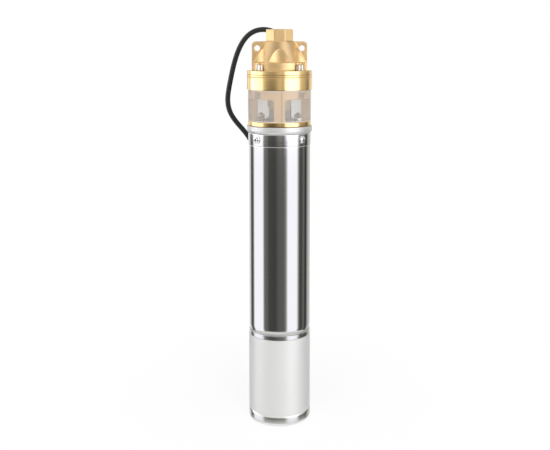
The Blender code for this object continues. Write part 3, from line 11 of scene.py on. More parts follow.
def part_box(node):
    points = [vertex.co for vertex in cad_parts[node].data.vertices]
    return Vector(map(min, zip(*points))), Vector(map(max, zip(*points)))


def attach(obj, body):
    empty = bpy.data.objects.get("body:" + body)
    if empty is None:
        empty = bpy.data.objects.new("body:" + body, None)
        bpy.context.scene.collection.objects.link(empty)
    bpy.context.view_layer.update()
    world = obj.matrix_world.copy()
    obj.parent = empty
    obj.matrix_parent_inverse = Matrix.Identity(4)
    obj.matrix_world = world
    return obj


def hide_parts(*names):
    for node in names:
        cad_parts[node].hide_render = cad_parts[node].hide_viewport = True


bl_info = {
    "name": "Borehole submersible pump",
    "version": (1, 0, 0),
    "blender": (4, 5, 0),
    "location": "View3D > Sidebar > Pump",
    "description": "Dresses the pump's CAD frame with finished brass, steel and rubber pieces",
    "category": "Object",
}

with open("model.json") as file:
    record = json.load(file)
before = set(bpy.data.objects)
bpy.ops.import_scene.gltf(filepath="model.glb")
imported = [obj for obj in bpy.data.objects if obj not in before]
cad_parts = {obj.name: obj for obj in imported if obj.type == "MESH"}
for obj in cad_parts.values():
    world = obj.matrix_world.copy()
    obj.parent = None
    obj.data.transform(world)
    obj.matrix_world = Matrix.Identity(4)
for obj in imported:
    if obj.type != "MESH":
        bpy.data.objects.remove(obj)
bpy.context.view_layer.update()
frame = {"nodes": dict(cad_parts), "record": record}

MM = 0.001


def mm(*sizes):
    """Sizes in millimetres, given back in metres."""
    return [size * MM for size in sizes]


def levels(node):
    """The heights of a CAD node's foot and top."""
    low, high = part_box(node)
    return low.z, high.z


# Levels of the outer pieces, read from the CAD nodes
GAP = 0.3 * MM
Z_CAP_TOP = levels("bottom_cap")[1]
Z_SATIN_FOOT, Z_SATIN_TOP = levels("satin_band")
Z_SHELL_FOOT, Z_RIM_TOP = levels("lower_shell")
Z_TUBE_FOOT, Z_TUBE_TOP = levels("motor_tube")
Z_CLAMP_FOOT, Z_CLAMP_TOP = levels("clamp_ring")
Z_HUB_TOP = levels("motor_flange")[1]
Z_CAGE_FOOT, Z_JOINT = levels("pump_body")
Z_SHEET_FOOT, Z_SHEET_TOP = levels("strainer")
Z_TOP = levels("delivery_head")[1]
Z_LIP = Z_CLAMP_TOP + GAP
Z_LIP_TOP = Z_CAGE_FOOT - GAP
Z_COLUMN = Z_CAGE_FOOT + 7.0 * MM
Z_PLATE = Z_COLUMN + 33.1 * MM
Z_BODY_RING = Z_PLATE + 13.5 * MM
Z_COVER = Z_JOINT + GAP
Z_BAND = Z_COVER + 5.9 * MM
Z_CONE = Z_BAND + 11.8 * MM
Z_BOSS = Z_CONE + 31.6 * MM

# Radii of the outer pieces
CAP_R, SATIN_R, RIM_R, TUBE_R, CLAMP_R = mm(47.0, 46.7, 46.6, 46.5, 47.1)
LIP_R, LOWER_RING_R, BODY_R, STRAINER_R = mm(49.2, 47.5, 49.0, 47.2)
CAGE_R, CAGE_IN_R = mm(46.1, 34.0)

# Fasteners, four of each kind on a circle
BOLT_ANGLE = 45.0
BOLT_COUNT = 4
HEAD_BOLT_PITCH_R, STUD_PITCH_R = mm(42.0, 40.0)
BOLT_RECESS_R = 6.5 * MM
Z_CLAMP_SCREW = Z_CLAMP_FOOT + 9.6 * MM

# Delivery head
CONE_TOP_R, CONE_FOOT_R, SKIRT_R = mm(22.6, 38.5, 39.0)
BOSS_FLATS, BOSS_DEPTH = mm(40.0, 12.0)
POCKET_R, POCKET_PITCH_R = mm(21.6, 49.7)
POCKET_COUNT = 6
BORE_R, BORE_DEPTH, THREAD_SEAT_R, THREAD_SEAT_DEPTH = mm(15.3, 50.6, 17.0, 19.0)
ROPE_HOLE_R, ROPE_HOLE_X, ROPE_HOLE_DROP = mm(4.4, 33.5, 10.2)
EAR_R, EAR_X, EAR_HALF_THICKNESS = mm(6.0, 41.4, 3.0)
GLAND_SEAT_R, GLAND_SEAT_HEIGHT = mm(8.0, 22.0)
THREAD_CREST_R, THREAD_WALL_R, THREAD_DEPTH, THREAD_LENGTH = mm(15.2, 17.1, 1.48, 17.0)
THREAD_MOUTH, THREAD_INSET = mm(1.6, 0.25)

# Pump body, its bores and the hub under it
BODY_BORE_R, SHAFT_BORE_R = mm(37.0, 12.0)
HOUSING_R, HOUSING_NECK_R, HOUSING_BORE_R = mm(18.0, 16.0, 13.5)
HUB_R, HUB_BORE_R, GUARD_R, GUARD_BORE_R, GUARD_HEIGHT = mm(18.5, 13.4, 16.0, 14.6, 9.6)

# Cable
CABLE_R = 4.0 * MM
CABLE_PITCH_R = 42.0 * MM
CABLE_ANGLE = 160.0
GLAND = (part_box("cable_gland")[0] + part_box("cable_gland")[1]) / 2
CABLE_START = Vector((GLAND.x, GLAND.y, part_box("cable_grommet")[1].z + GAP))
COIL_CENTRE = Vector((GLAND.x - 10.4 * MM, GLAND.y + 61.5 * MM, 0.0))
CABLE_BEND = [
    (0.0, 0.0, 0.0), (-1.2, 0.0, 11.3), (-7.0, 0.3, 22.7), (-16.0, 0.7, 31.6), (-27.4, 1.3, 37.5),
    (-40.0, 2.1, 39.5), (-52.4, 3.5, 37.1), (-62.8, 5.5, 30.7), (-71.0, 7.5, 21.1),
    (-77.0, 9.5, 9.9), (-82.0, 11.5, -2.7), (-86.6, 13.5, -18.7), (-90.4, 15.5, -36.1),
    (-94.2, 17.5, -54.5), (-96.6, 19.7, -71.3), (-94.0, 21.9, -88.9), (-84.8, 23.9, -104.1),
    (-73.0, 25.7, -117.3), (-62.2, 27.1, -131.1), (-54.4, 28.0, -146.9), (-51.0, 28.4, -164.7),
    (-50.4, 28.5, -185.3), (-50.4, 28.5, -227.3),
]
CABLE_FALL = [
    (0.0, -33.0, 230.0), (0.0, -33.0, 130.0), (0.0, -33.0, 92.0), (0.0, -33.0, 75.9),
    (0.0, -31.9, 67.4), (0.0, -28.6, 59.4), (0.0, -23.3, 52.6), (0.0, -16.5, 47.4),
    (0.0, -8.5, 44.1), (0.0, -0.6, 43.0),
]
ROUTE_POINTS = 220
COIL_R, COIL_TOP, COIL_FOOT = mm(40.0, 42.9, 5.3)
COIL_TURNS = 4.5
COIL_TURN_POINTS = 28
CORE_R, CORE_LENGTH, CORE_BUNCH_R, CORE_SPLAY = mm(1.3, 24.0, 1.7, 3.4)
CORE_LEAN = 0.7
CORE_POINTS = 24

# Fineness of the meshes
TURN_STEPS = 144
ROUND_SIDES = 48
EDGE_HOLD = 0.4 * MM
SHARP_ANGLE = math.radians(32.0)


# Colours and sizes that a user would change

def linear(code):
    """Turn an sRGB hex colour into the linear colour that a shader takes."""
    channels = [int(code[i:i + 2], 16) / 255 for i in (0, 2, 4)]
    return [c / 12.92 if c <= 0.04045 else ((c + 0.055) / 1.055) ** 2.4 for c in channels]


def colour_property(name, description, code):
    return FloatVectorProperty(name=name, description=description, subtype="COLOR", size=3,
                               min=0.0, max=1.0, default=linear(code))


def length_property(name, description, default):
    return FloatProperty(name=name, description=description, subtype="DISTANCE",
                         unit="LENGTH", min=0.0, default=default, precision=5)


class PumpSizes(bpy.types.PropertyGroup):
    # The real perforations are finer. These are as coarse as it takes to show them.
    perforation_pitch: length_property(
        "Perforation pitch", "Distance between the holes of the strainer", 2.5 * MM)
    perforation_diameter: length_property(
        "Perforation diameter", "Diameter of one hole of the strainer", 2.2 * MM)
    sheet_thickness: length_property(
        "Sheet thickness", "Thickness of the strainer's sheet", 0.3 * MM)
    turned_edge: length_property(
        "Turned edge", "Radius that breaks the edges of turned pieces", 0.35 * MM)
    cast_grain: length_property(
        "Cast grain", "Size of the grit marks on the cast brass", 1.1 * MM)
    casting_resolution: length_property(
        "Casting resolution", "Size of the facets that round off the casting", 0.6 * MM)
    thread_pitch: length_property(
        "Thread pitch", "Pitch of the outlet's 1 inch pipe thread", 2.309 * MM)
    bolt_head: length_property(
        "Bolt head", "Diameter of the head bolts' socket heads", 10.0 * MM)


class PumpColours(bpy.types.PropertyGroup):
    cast_brass: colour_property("Cast brass", "Blasted casting of the delivery head", "f0ce98")
    turned_brass: colour_property("Turned brass", "Turned rings of the pump body", "eccb90")
    stainless: colour_property("Stainless steel", "Polished tube and fasteners", "e6e6e4")
    satin_steel: colour_property("Satin steel", "Turned steel of the motor flange", "dededc")
    satin_film: colour_property("Satin band", "Matt silver band on the lower shell", "f2f2f0")
    strainer: colour_property("Strainer", "Matt perforated sheet of the strainer", "e9e2db")
    rubber: colour_property("Rubber", "Grommet and seal rings", "1b1b1c")
    sheath: colour_property("Cable sheath", "Rubber sheath of the power cable", "222325")
    core_brown: colour_property("Brown core", "Insulation of the live core", "6b4026")
    core_blue: colour_property("Blue core", "Insulation of the neutral core", "2a62a8")
    core_earth: colour_property("Earth core", "Green of the earth core", "5f9a34")
    core_stripe: colour_property("Earth stripe", "Yellow of the earth core", "e2c52c")


class PumpStage(bpy.types.PropertyGroup):
    world_strength: FloatProperty(
        name="Sky", description="Strength of the even light from all round", min=0.0, default=0.4)
    key_power: FloatProperty(
        name="Key light", description="Power of the two large soft lamps", subtype="POWER",
        unit="POWER", min=0.0, default=11.5)
    panel_strength: FloatProperty(
        name="Panels", description="Brightness of the white reflector panels", min=0.0,
        default=1.15)
    upper_strength: FloatProperty(
        name="Upper panels", description="Brightness of the panels beside the pump's head",
        min=0.0, default=3.3)


# Materials

def add_node(tree, kind, inputs=(), **settings):
    """Add a node, set its attributes, then set or link its inputs, given as socket: value.

    A node given as a value stands for its first output that is in use.
    """
    made = tree.nodes.new(kind)
    for name, value in settings.items():
        setattr(made, name, value)
    for key, value in dict(inputs).items():
        socket = made.inputs[key] if isinstance(key, int) else next(
            found for found in made.inputs if found.enabled and found.name == key)
        if isinstance(value, bpy.types.Node):
            value = next(found for found in value.outputs if found.enabled)
        if isinstance(value, bpy.types.NodeSocket):
            tree.links.new(value, socket)
        else:
            socket.default_value = value
    return made


def empty_tree(owner):
    """Clear the node tree of a new material or world, and return what adds a node to it."""
    owner.use_nodes = True
    owner.node_tree.nodes.clear()
    return partial(add_node, owner.node_tree)


# Each pattern returns what moves a finish's roughness, its shade and its relief

def grit(node, size, detail=2.0, uneven=0.5):
    """Irregular marks of one size, alike in every direction."""
    marks = node("ShaderNodeTexNoise", {
        "Vector": node("ShaderNodeTexCoord").outputs["Object"], "Scale": 1.0 / size,
        "Detail": detail, "Roughness": uneven})
    return marks, marks, marks


def blasted(node, size):
    """Fine grit from glass beads, with shine and shade that change in wide soft clouds."""
    marks = grit(node, size, 3.0, 0.6)[0]
    cloud = grit(node, 14.0 * MM)[0]
    shade = node("ShaderNodeMapRange", {"Value": cloud, "To Min": 0.3, "To Max": 1.3})
    return cloud, shade, marks


def grit_in_painted_shade(node, size, inner, outer):
    """Grit from the mould, with painted shade that darkens it towards the axis, for the shadow inside
    the strainer and under the plate.
    """
    marks = grit(node, size, 3.0)[0]
    across = node("ShaderNodeVectorMath", {
        0: node("ShaderNodeTexCoord").outputs["Object"], 1: (1.0, 1.0, 0.0)},
        operation="MULTIPLY")
    reach = node("ShaderNodeVectorMath", {0: across}, operation="LENGTH")
    out_of_shade = node("ShaderNodeMapRange", {"Value": reach, "From Min": inner, "From Max": outer})
    patchy = node("ShaderNodeMapRange", {"Value": marks, "To Min": 0.6, "To Max": 1.2})
    return marks, node("ShaderNodeMath", {0: out_of_shade, 1: patchy}, operation="MULTIPLY"), marks


def rings(node, size):
    """Rings round the pump's axis from a lathe tool, drawn coarser than real ones to show."""
    axis = node("ShaderNodeSeparateXYZ", {"Vector": node("ShaderNodeTexCoord").outputs["Object"]})
    marks = node("ShaderNodeTexNoise", {
        "W": axis.outputs["Z"], "Scale": 0.35 / size, "Detail": 4.0, "Roughness": 0.7},
        noise_dimensions="1D")
    return marks, marks, marks


def drawn(node, size):
    """Fine upright streaks, as the rolls leave them on a film."""
    stretched = node("ShaderNodeMapping", {
        "Vector": node("ShaderNodeTexCoord").outputs["Object"], "Scale": (1.0, 1.0, 0.04)})
    marks = node("ShaderNodeTexNoise", {"Vector": stretched, "Scale": 1.0 / size, "Detail": 2.0})
    return marks, marks, marks


def striped(node, size):
    """Bands that take turns with height, which draw a stripe along a core that lies down."""
    axis = node("ShaderNodeSeparateXYZ", {"Vector": node("ShaderNodeTexCoord").outputs["Object"]})
    pitches = node("ShaderNodeMath", {0: axis.outputs["Z"], 1: 1.0 / size}, operation="MULTIPLY")
    share, first_share = node("ShaderNodeMath", {0: pitches}, operation="FRACT"), 0.62
    band = node("ShaderNodeMath", {0: share, 1: first_share}, operation="GREATER_THAN")
    return band, band, band


def finishes(colours, sizes):
    """The values of each finish, under a comment on what they give the eye."""
    found = {
        # Sand-cast and blasted with glass beads: soft broad highlights over a fine grit
        "cast brass": dict(
            colour=colours.cast_brass, metallic=1.0, pattern=partial(blasted, size=sizes.cast_grain),
            rough=(0.35, 0.46), darkest=0.9, relief=0.16 * MM, strength=0.6),
        # Turned on a lathe and left bright: a golden shine, drawn out by faint rings
        "turned brass": dict(
            colour=colours.turned_brass, metallic=1.0, pattern=partial(rings, size=0.5 * MM),
            rough=(0.13, 0.21), darkest=0.93, relief=0.02 * MM, strength=0.5),
        # Cold-drawn tube, mirror polished: sharp reflections with hair-fine lines
        "polished stainless steel": dict(
            colour=colours.stainless, metallic=1.0, pattern=partial(rings, size=0.9 * MM),
            rough=(0.07, 0.14), relief=0.004 * MM),
        # Turned on a lathe and wiped smooth: highlights with soft ends
        "turned stainless steel": dict(
            colour=colours.stainless, metallic=1.0, pattern=partial(rings, size=0.5 * MM),
            rough=(0.17, 0.25), relief=0.012 * MM, strength=0.5),
        # Turned and left satin: a soft grey sheen with the tool's rings
        "satin steel": dict(
            colour=colours.satin_steel, metallic=0.6, pattern=partial(rings, size=0.7 * MM),
            rough=(0.32, 0.44), relief=0.02 * MM, strength=0.5),
        # Thin sheet left matt by the etching bath: pale, with soft grey highlights
        "etched stainless sheet": dict(
            colour=colours.strainer, metallic=0.12, pattern=partial(grit, size=0.9 * MM),
            rough=(0.36, 0.5), darkest=0.93, sheen=0.4),
        # Vinyl film with a silver print: nearly white, with a fine upright grain
        "matt silver film": dict(
            colour=colours.satin_film, metallic=0.35, pattern=partial(drawn, size=0.8 * MM),
            rough=(0.44, 0.56), darkest=0.95, relief=0.01 * MM),
        # Moulded rubber: nearly black and dull, with fine grain
        "moulded rubber": dict(
            colour=colours.rubber, pattern=partial(grit, size=0.7 * MM, detail=3.0),
            rough=(0.5, 0.66), darkest=0.75, relief=0.05 * MM),
        # Extruded rubber sheath: black with a faint sheen along its bends
        "cable sheath rubber": dict(
            colour=colours.sheath, pattern=partial(grit, size=1.6 * MM, detail=3.0),
            rough=(0.36, 0.5), darkest=0.75, relief=0.05 * MM),
        # Extruded vinyl in two colours: green with a bright yellow stripe along it
        "earth core insulation": dict(
            colour=colours.core_earth, stripe=colours.core_stripe,
            pattern=partial(striped, size=2.4 * MM), rough=(0.42, 0.42)),
    }
    # Cast brass left as it left the mould: nearly matt, and darker towards the inside by painted
    # shade, for the shadow inside the strainer, under the plate and in its recesses
    for name, inner, outer in (("column", 22.0, 37.0), ("plate", 40.0, 45.8), ("housing", 0.0, 34.0)):
        found[f"cast {name} brass"] = dict(
            colour=colours.cast_brass, metallic=0.45, rough=(0.55, 0.55), darkest=0.5,
            pattern=partial(grit_in_painted_shade, size=sizes.cast_grain, inner=inner * MM, outer=outer * MM),
            relief=0.16 * MM, strength=0.6)
    for name, colour, metallic, middle, grain in (
            # Plated in a bath: a warm grey shine that its grain just blurs
            ("zinc-plated steel", linear("d2cbbb"), 1.0, 0.16, 0.8),
            # Rolled bar, darkened by its oil: a grey shine, lower than the plated one
            ("dull steel", linear("b8b8b0"), 1.0, 0.12, 0.8),
            # Spot-welded lap: a straw tan darker than the sheet beside it, which paints the lap's
            # shadow line, and a softer shine
            ("weld seam", linear("cdb692"), 0.9, 0.4, 0.5),
            # Milled and left raw: darker grey without a clear reflection
            ("machined steel", linear("8e8a84"), 0.8, 0.4, 0.8),
            # Ground bearing and shaft steel: cool, even, fairly sharp shine
            ("ground steel", linear("a9aaac"), 1.0, 0.28, 0.9),
            # Enamelled wire under varnish: deep copper red with a wet look
            ("varnished copper", linear("b0673a"), 0.9, 0.4, 1.2),
            # Extruded vinyl insulation: clean even colour with a waxy shine
            ("brown core insulation", colours.core_brown, 0.0, 0.42, 0.8),
            ("blue core insulation", colours.core_blue, 0.0, 0.42, 0.8),
            # Moulded nylon: waxy, nearly black for the tie and light grey for the bearings
            ("nylon tie", linear("2a2a2b"), 0.0, 0.42, 0.6),
            ("grey nylon", linear("b9bbbb"), 0.0, 0.45, 0.9),
            # Sintered and lapped: ivory and slightly glossy
            ("seal ceramic", linear("ece8dc"), 0.0, 0.3, 0.5),
            # Pressed carbon: charcoal, dull
            ("seal carbon", linear("2c2c2e"), 0.0, 0.45, 0.5)):
        found[name] = dict(
            colour=colour, metallic=metallic, pattern=partial(grit, size=grain * MM),
            rough=(middle - 0.06, middle + 0.06), darkest=0.88, relief=0.02 * MM)
    return found


def make_finish(name, colour, pattern, rough, metallic=0.0, darkest=1.0, stripe=None, relief=0.0,
                strength=0.4, sheen=0.0):
    """A Principled material whose pattern moves its roughness, its shade and its relief."""
    made = bpy.data.materials.new(name)
    node = empty_tree(made)
    dulling, shade, height = pattern(node)
    first, second = ([c * darkest for c in colour], colour) if stripe is None else (colour, stripe)
    inputs = {"Base Color": (*colour, 1.0), "Roughness": rough[0], "Metallic": metallic,
              "Sheen Weight": sheen}
    if stripe is not None or darkest < 1.0:
        inputs["Base Color"] = node("ShaderNodeMix", {
            "Factor": shade, "A": (*first, 1.0), "B": (*second, 1.0)}, data_type="RGBA")
    if rough[0] < rough[1]:
        inputs["Roughness"] = node("ShaderNodeMapRange", {
            "Value": dulling, "To Min": rough[0], "To Max": rough[1]})
    if relief:
        inputs["Normal"] = node("ShaderNodeBump", {
            "Height": height, "Distance": relief, "Strength": strength})
    shader = node("ShaderNodeBsdfPrincipled", inputs)
    node("ShaderNodeOutputMaterial", {"Surface": shader})
    made.diffuse_color = (*colour, 1.0)
    return made


def finish_named(name):
    """The finish with this name, made once and then shared by the pieces."""
    scene = bpy.context.scene
    return bpy.data.materials.get(name) or make_finish(
        name, **finishes(scene.pump_colours, scene.pump_sizes)[name])


# Shapes

def around(radius, azimuth, z=0.0):
    """The point at a radius, an azimuth in degrees from the front, and a height."""
    turn = math.radians(azimuth)
    return Vector((radius * math.sin(turn), -radius * math.cos(turn), z))


def circle(radius, turn):
    return radius * math.cos(turn), radius * math.sin(turn)


def new_object(name, data):
    made = bpy.data.objects.new(name, data)
    bpy.context.scene.collection.objects.link(made)
    return made


def dress(mesh, look):
    """Give a mesh its finish, smooth walls and sharp edges."""
    mesh.materials.clear()
    mesh.materials.append(finish_named(look))
    mesh.shade_smooth()
    mesh.set_sharp_from_angle(angle=SHARP_ANGLE)


def mesh_object(name, bm, look=None):
    mesh = bpy.data.meshes.new(name)
    bm.to_mesh(mesh)
    bm.free()
    if look:
        dress(mesh, look)
    return new_object(name, mesh)


def bridge(bm, first, second):
    """Faces between two closed rows of as many points."""
    for i in range(len(first)):
        j = (i + 1) % len(first)
        bm.faces.new((first[i], first[j], second[j], second[i]))


def stepped(*corners):
    """A turned outline whose steps go across and then up or down to each next corner."""
    outline = [corners[0]]
    for (_, z), (next_r, next_z) in zip(corners, corners[1:]):
        outline += [(next_r, z), (next_r, next_z)]
    return outline + [(corners[0][0], corners[-1][1])]


def soften(outline, radius, points=3):
    """Round each corner of a turned outline that isn't on the axis, as far as its sides allow.

    A point close behind each rounding keeps the shading of the long wall beside it straight.
    """
    result = []
    for i, corner in enumerate(outline):
        here = Vector(corner)
        back, ahead = Vector(outline[i - 1]) - here, Vector(outline[(i + 1) % len(outline)]) - here
        reach = min(radius, 0.45 * back.length, 0.45 * ahead.length)
        if corner[0] <= 0.0 or reach < 0.02 * MM or back.angle(ahead) > math.radians(165):
            result.append(tuple(corner))
            continue
        start, end = here + back.normalized() * reach, here + ahead.normalized() * reach
        behind, beyond = (min(EDGE_HOLD, 0.04 * side.length) for side in (back, ahead))
        result.append(tuple(start + back.normalized() * behind))
        for step in range(points + 1):
            t = step / points
            result.append(tuple(start.lerp(here, t).lerp(here.lerp(end, t), t)))
        result.append(tuple(end + ahead.normalized() * beyond))
    return result


def turned_mesh(outline, edge, steps=ROUND_SIDES):
    """A bmesh solid of revolution about Z from an outline that runs down its outer side."""
    bm = bmesh.new()
    outline = soften(outline, edge)
    points = [bm.verts.new((r, 0.0, z)) for r, z in outline]
    edges = [bm.edges.new(pair) for pair in zip(points, points[1:])]
    if outline[0][0] > 0.0 or outline[-1][0] > 0.0:
        edges.append(bm.edges.new((points[-1], points[0])))
    bmesh.ops.spin(bm, geom=points + edges, cent=(0, 0, 0), axis=(0, 0, 1), dvec=(0, 0, 0),
                   angle=math.tau, steps=steps, use_merge=True, use_duplicate=False)
    bmesh.ops.remove_doubles(bm, verts=bm.verts, dist=0.002 * MM)
    bmesh.ops.recalc_face_normals(bm, faces=bm.faces[:])
    return bm


def turned(name, outline, look=None, edge=None, steps=TURN_STEPS):
    if edge is None:
        edge = bpy.context.scene.pump_sizes.turned_edge
    return mesh_object(name, turned_mesh(outline, edge, steps), look)


def turned_piece(name, outline, look, slot, nodes=(), body="housing", **fineness):
    """A plain turned piece, ready and in its place."""
    return place_piece(turned(name, outline, look, **fineness), nodes, body)


def add_rod(bm, radius, start, end, sides=ROUND_SIDES, twist=0.0, radius_end=None):
    along = end - start
    turn = along.to_track_quat("Z", "Y").to_matrix().to_4x4() @ Matrix.Rotation(twist, 4, "Z")
    bmesh.ops.create_cone(
        bm, cap_ends=True, segments=sides, radius1=radius,
        radius2=radius if radius_end is None else radius_end, depth=along.length,
        matrix=Matrix.Translation((start + end) / 2) @ turn)


def add_post(bm, radius, low, high, sides=ROUND_SIDES, **more):
    """An upright rod on the axis."""
    add_rod(bm, radius, Vector((0, 0, low)), Vector((0, 0, high)), sides, **more)


def polygon_radius(flats, sides):
    return flats / 2 / math.cos(math.pi / sides)


def add_hexagon(bm, flats, low, high, chamfer, bevel):
    """An upright hexagon with a chamfered top."""
    radius = polygon_radius(flats, 6)
    add_post(bm, radius, low, high - chamfer, 6)
    add_post(bm, radius, high - chamfer, high, 6, radius_end=radius - bevel)


def add_box(bm, low, high):
    low, high = Vector(low), Vector(high)
    place = Matrix.Translation((low + high) / 2) @ Matrix.Diagonal((*(high - low), 1.0))
    bmesh.ops.create_cube(bm, size=1.0, matrix=place)


def rods_around(radius, pitch_r, low, high, azimuths, sides=ROUND_SIDES):
    bm = bmesh.new()
    for azimuth in azimuths:
        add_rod(bm, radius, around(pitch_r, azimuth, low), around(pitch_r, azimuth, high), sides)
    return bm


def bolt_azimuths():
    return [BOLT_ANGLE + 360.0 / BOLT_COUNT * i for i in range(BOLT_COUNT)]


def combine(obj, bm, operation="DIFFERENCE"):
    """Cut a shape out of a piece or join it on, by a modifier that make_plain applies."""
    change = obj.modifiers.new("shape", "BOOLEAN")
    change.operation = operation
    change.solver = "EXACT"
    change.object = mesh_object(f"{obj.name} tool", bm)


def make_plain(obj, look, helpers=()):
    """Turn a piece and its modifiers into a plain mesh, and drop the shapes that it used."""
    bpy.context.view_layer.update()
    evaluated = obj.evaluated_get(bpy.context.evaluated_depsgraph_get())
    mesh = bpy.data.meshes.new_from_object(evaluated)
    mesh.name = obj.name
    used = [change.object for change in obj.modifiers if change.type == "BOOLEAN"]
    obj.modifiers.clear()
    obj.data = mesh
    dress(mesh, look)
    for helper in (*used, *helpers):
        bpy.data.objects.remove(helper)
    return obj


def place_piece(piece, nodes=(), body="housing"):
    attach(piece, body)
    if nodes:
        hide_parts(*nodes)
    return piece


# Geometry Nodes trees

def new_tree(name, sizes):
    """A geometry node tree with these named inputs, what adds a node to it, and its sizes."""
    tree = bpy.data.node_groups.new(name, "GeometryNodeTree")
    tree.interface.new_socket("Geometry", in_out="INPUT", socket_type="NodeSocketGeometry")
    for kind, labels in sizes.items():
        for label in labels:
            tree.interface.new_socket(label, in_out="INPUT", socket_type=f"NodeSocket{kind}")
    tree.interface.new_socket("Geometry", in_out="OUTPUT", socket_type="NodeSocketGeometry")
    node = partial(add_node, tree)
    return tree, node, node("NodeGroupInput").outputs


def close_tree(node, geometry, look):
    realised = node("GeometryNodeRealizeInstances", {"Geometry": geometry})
    painted = node("GeometryNodeSetMaterial", {"Geometry": realised, "Material": look})
    node("NodeGroupOutput", {"Geometry": painted})


def place_around(node, turn, reach, height):
    """The place at a turn from the front, a reach from the axis and a height."""
    sine = node("ShaderNodeMath", {0: turn}, operation="SINE")
    cosine = node("ShaderNodeMath", {0: turn}, operation="COSINE")
    front = node("ShaderNodeMath", {0: reach, 1: -1.0}, operation="MULTIPLY")
    return node("ShaderNodeCombineXYZ", {
        "X": node("ShaderNodeMath", {0: sine, 1: reach}, operation="MULTIPLY"),
        "Y": node("ShaderNodeMath", {0: cosine, 1: front}, operation="MULTIPLY"),
        "Z": height})


def ring_tree():
    """Copies of one fastener on a circle, each turned to look outwards."""
    tree, node, sizes = new_tree("ring of fasteners", {
        "Object": ["Fastener"], "Material": ["Material"], "Int": ["Count"],
        "Float": ["Pitch Radius", "First Angle", "Height"]})
    share = node("ShaderNodeMath", {0: math.tau, 1: sizes["Count"]}, operation="DIVIDE")
    turn = node("ShaderNodeMath", {
        0: node("GeometryNodeInputIndex"), 1: share, 2: sizes["First Angle"]},
        operation="MULTIPLY_ADD")
    place = place_around(node, turn, sizes["Pitch Radius"], sizes["Height"])
    copies = node("GeometryNodeInstanceOnPoints", {
        "Points": node("GeometryNodePoints", {"Count": sizes["Count"], "Position": place}),
        "Instance": node("GeometryNodeObjectInfo", {
            "Object": sizes["Fastener"]}).outputs["Geometry"],
        "Rotation": node("ShaderNodeCombineXYZ", {"Z": turn})})
    close_tree(node, copies, sizes["Material"])
    return tree


def perforated_tree():
    """A perforated sheet rolled into a sleeve: staggered cells, each with one round hole."""
    tree, node, sizes = new_tree("perforated sleeve", {
        "Object": ["Cell"], "Material": ["Material"], "Int": ["Columns", "Rows"],
        "Float": ["Pitch", "Row Height", "Foot", "Radius"]})
    index = node("GeometryNodeInputIndex")
    count = node("ShaderNodeMath", {0: sizes["Columns"], 1: sizes["Rows"]}, operation="MULTIPLY")
    rows_done = node("ShaderNodeMath", {0: index, 1: sizes["Columns"]}, operation="DIVIDE")
    row = node("ShaderNodeMath", {0: rows_done}, operation="FLOOR")
    column = node("ShaderNodeMath", {0: index, 1: sizes["Columns"]}, operation="MODULO")
    odd = node("ShaderNodeMath", {0: row, 1: 2.0}, operation="MODULO")
    staggered = node("ShaderNodeMath", {0: odd, 1: 0.5, 2: column}, operation="MULTIPLY_ADD")
    across = node("ShaderNodeMath", {0: staggered, 1: sizes["Pitch"]}, operation="MULTIPLY")
    middle = node("ShaderNodeMath", {0: row, 1: 0.5}, operation="ADD")
    lift = node("ShaderNodeMath", {0: middle, 1: sizes["Row Height"], 2: sizes["Foot"]},
                operation="MULTIPLY_ADD")
    place = node("ShaderNodeCombineXYZ", {"X": across, "Z": lift})
    copies = node("GeometryNodeInstanceOnPoints", {
        "Points": node("GeometryNodePoints", {"Count": count, "Position": place}),
        "Instance": node("GeometryNodeObjectInfo", {"Object": sizes["Cell"]}).outputs["Geometry"]})
    flat = node("GeometryNodeRealizeInstances", {"Geometry": copies})
    spot = node("ShaderNodeSeparateXYZ", {"Vector": node("GeometryNodeInputPosition")}).outputs
    turn = node("ShaderNodeMath", {0: spot["X"], 1: sizes["Radius"]}, operation="DIVIDE")
    reach = node("ShaderNodeMath", {0: spot["Y"], 1: sizes["Radius"]}, operation="ADD")
    rolled = place_around(node, turn, reach, spot["Z"])
    sleeve = node("GeometryNodeSetPosition", {"Geometry": flat, "Position": rolled})
    merged = node("GeometryNodeMergeByDistance", {"Geometry": sleeve, "Distance": 0.01 * MM})
    close_tree(node, merged, sizes["Material"])
    return tree


def run_tree(name, tree, values, look, helper):
    """Run a tree on an empty mesh object, and keep the plain mesh that it makes."""
    host = new_object(name, bpy.data.meshes.new(name))
    modifier = host.modifiers.new(name, "NODES")
    modifier.node_group = tree
    values = {"Material": finish_named(look), **values}
    for item in tree.interface.items_tree:
        if item.in_out == "INPUT" and item.name in values:
            modifier[item.identifier] = values[item.name]
    return make_plain(host, look, [helper])


def ring_of(name, fastener, node, pitch_r, height, look):
    """A ring of one fastener, in place of the CAD nodes that are numbered after this name."""
    made = run_tree(name, ring_tree(), {
        "Fastener": fastener, "Count": BOLT_COUNT, "Pitch Radius": pitch_r,
        "First Angle": math.radians(BOLT_ANGLE), "Height": height}, look, fastener)
    place_piece(made, [f"{node}_{number + 1}" for number in range(BOLT_COUNT)])


# Cable

def smooth_route(points, count):
    """Points at even spacing on a cubic B-spline along a cord's route."""
    steps = 16
    ends = [2 * points[0] - points[1]] + points + [2 * points[-1] - points[-2]]
    fine = []
    for before, start, end, after in zip(ends, ends[1:], ends[2:], ends[3:]):
        for step in range(steps):
            t = step / steps
            fine.append((before * (1 - t) ** 3 + start * (3 * t ** 3 - 6 * t * t + 4)
                         + end * (3 * t + 3 * t * t - 3 * t ** 3 + 1) + after * t ** 3) / 6)
    fine.append(points[-1])
    lengths = [0.0]
    for first, second in zip(fine, fine[1:]):
        lengths.append(lengths[-1] + (second - first).length)
    spaced, reach = [], 0
    for i in range(count):
        wanted = lengths[-1] * i / (count - 1)
        while reach < len(fine) - 2 and lengths[reach + 1] < wanted:
            reach += 1
        part = (wanted - lengths[reach]) / (lengths[reach + 1] - lengths[reach])
        spaced.append(fine[reach].lerp(fine[reach + 1], min(1.0, part)))
    return spaced


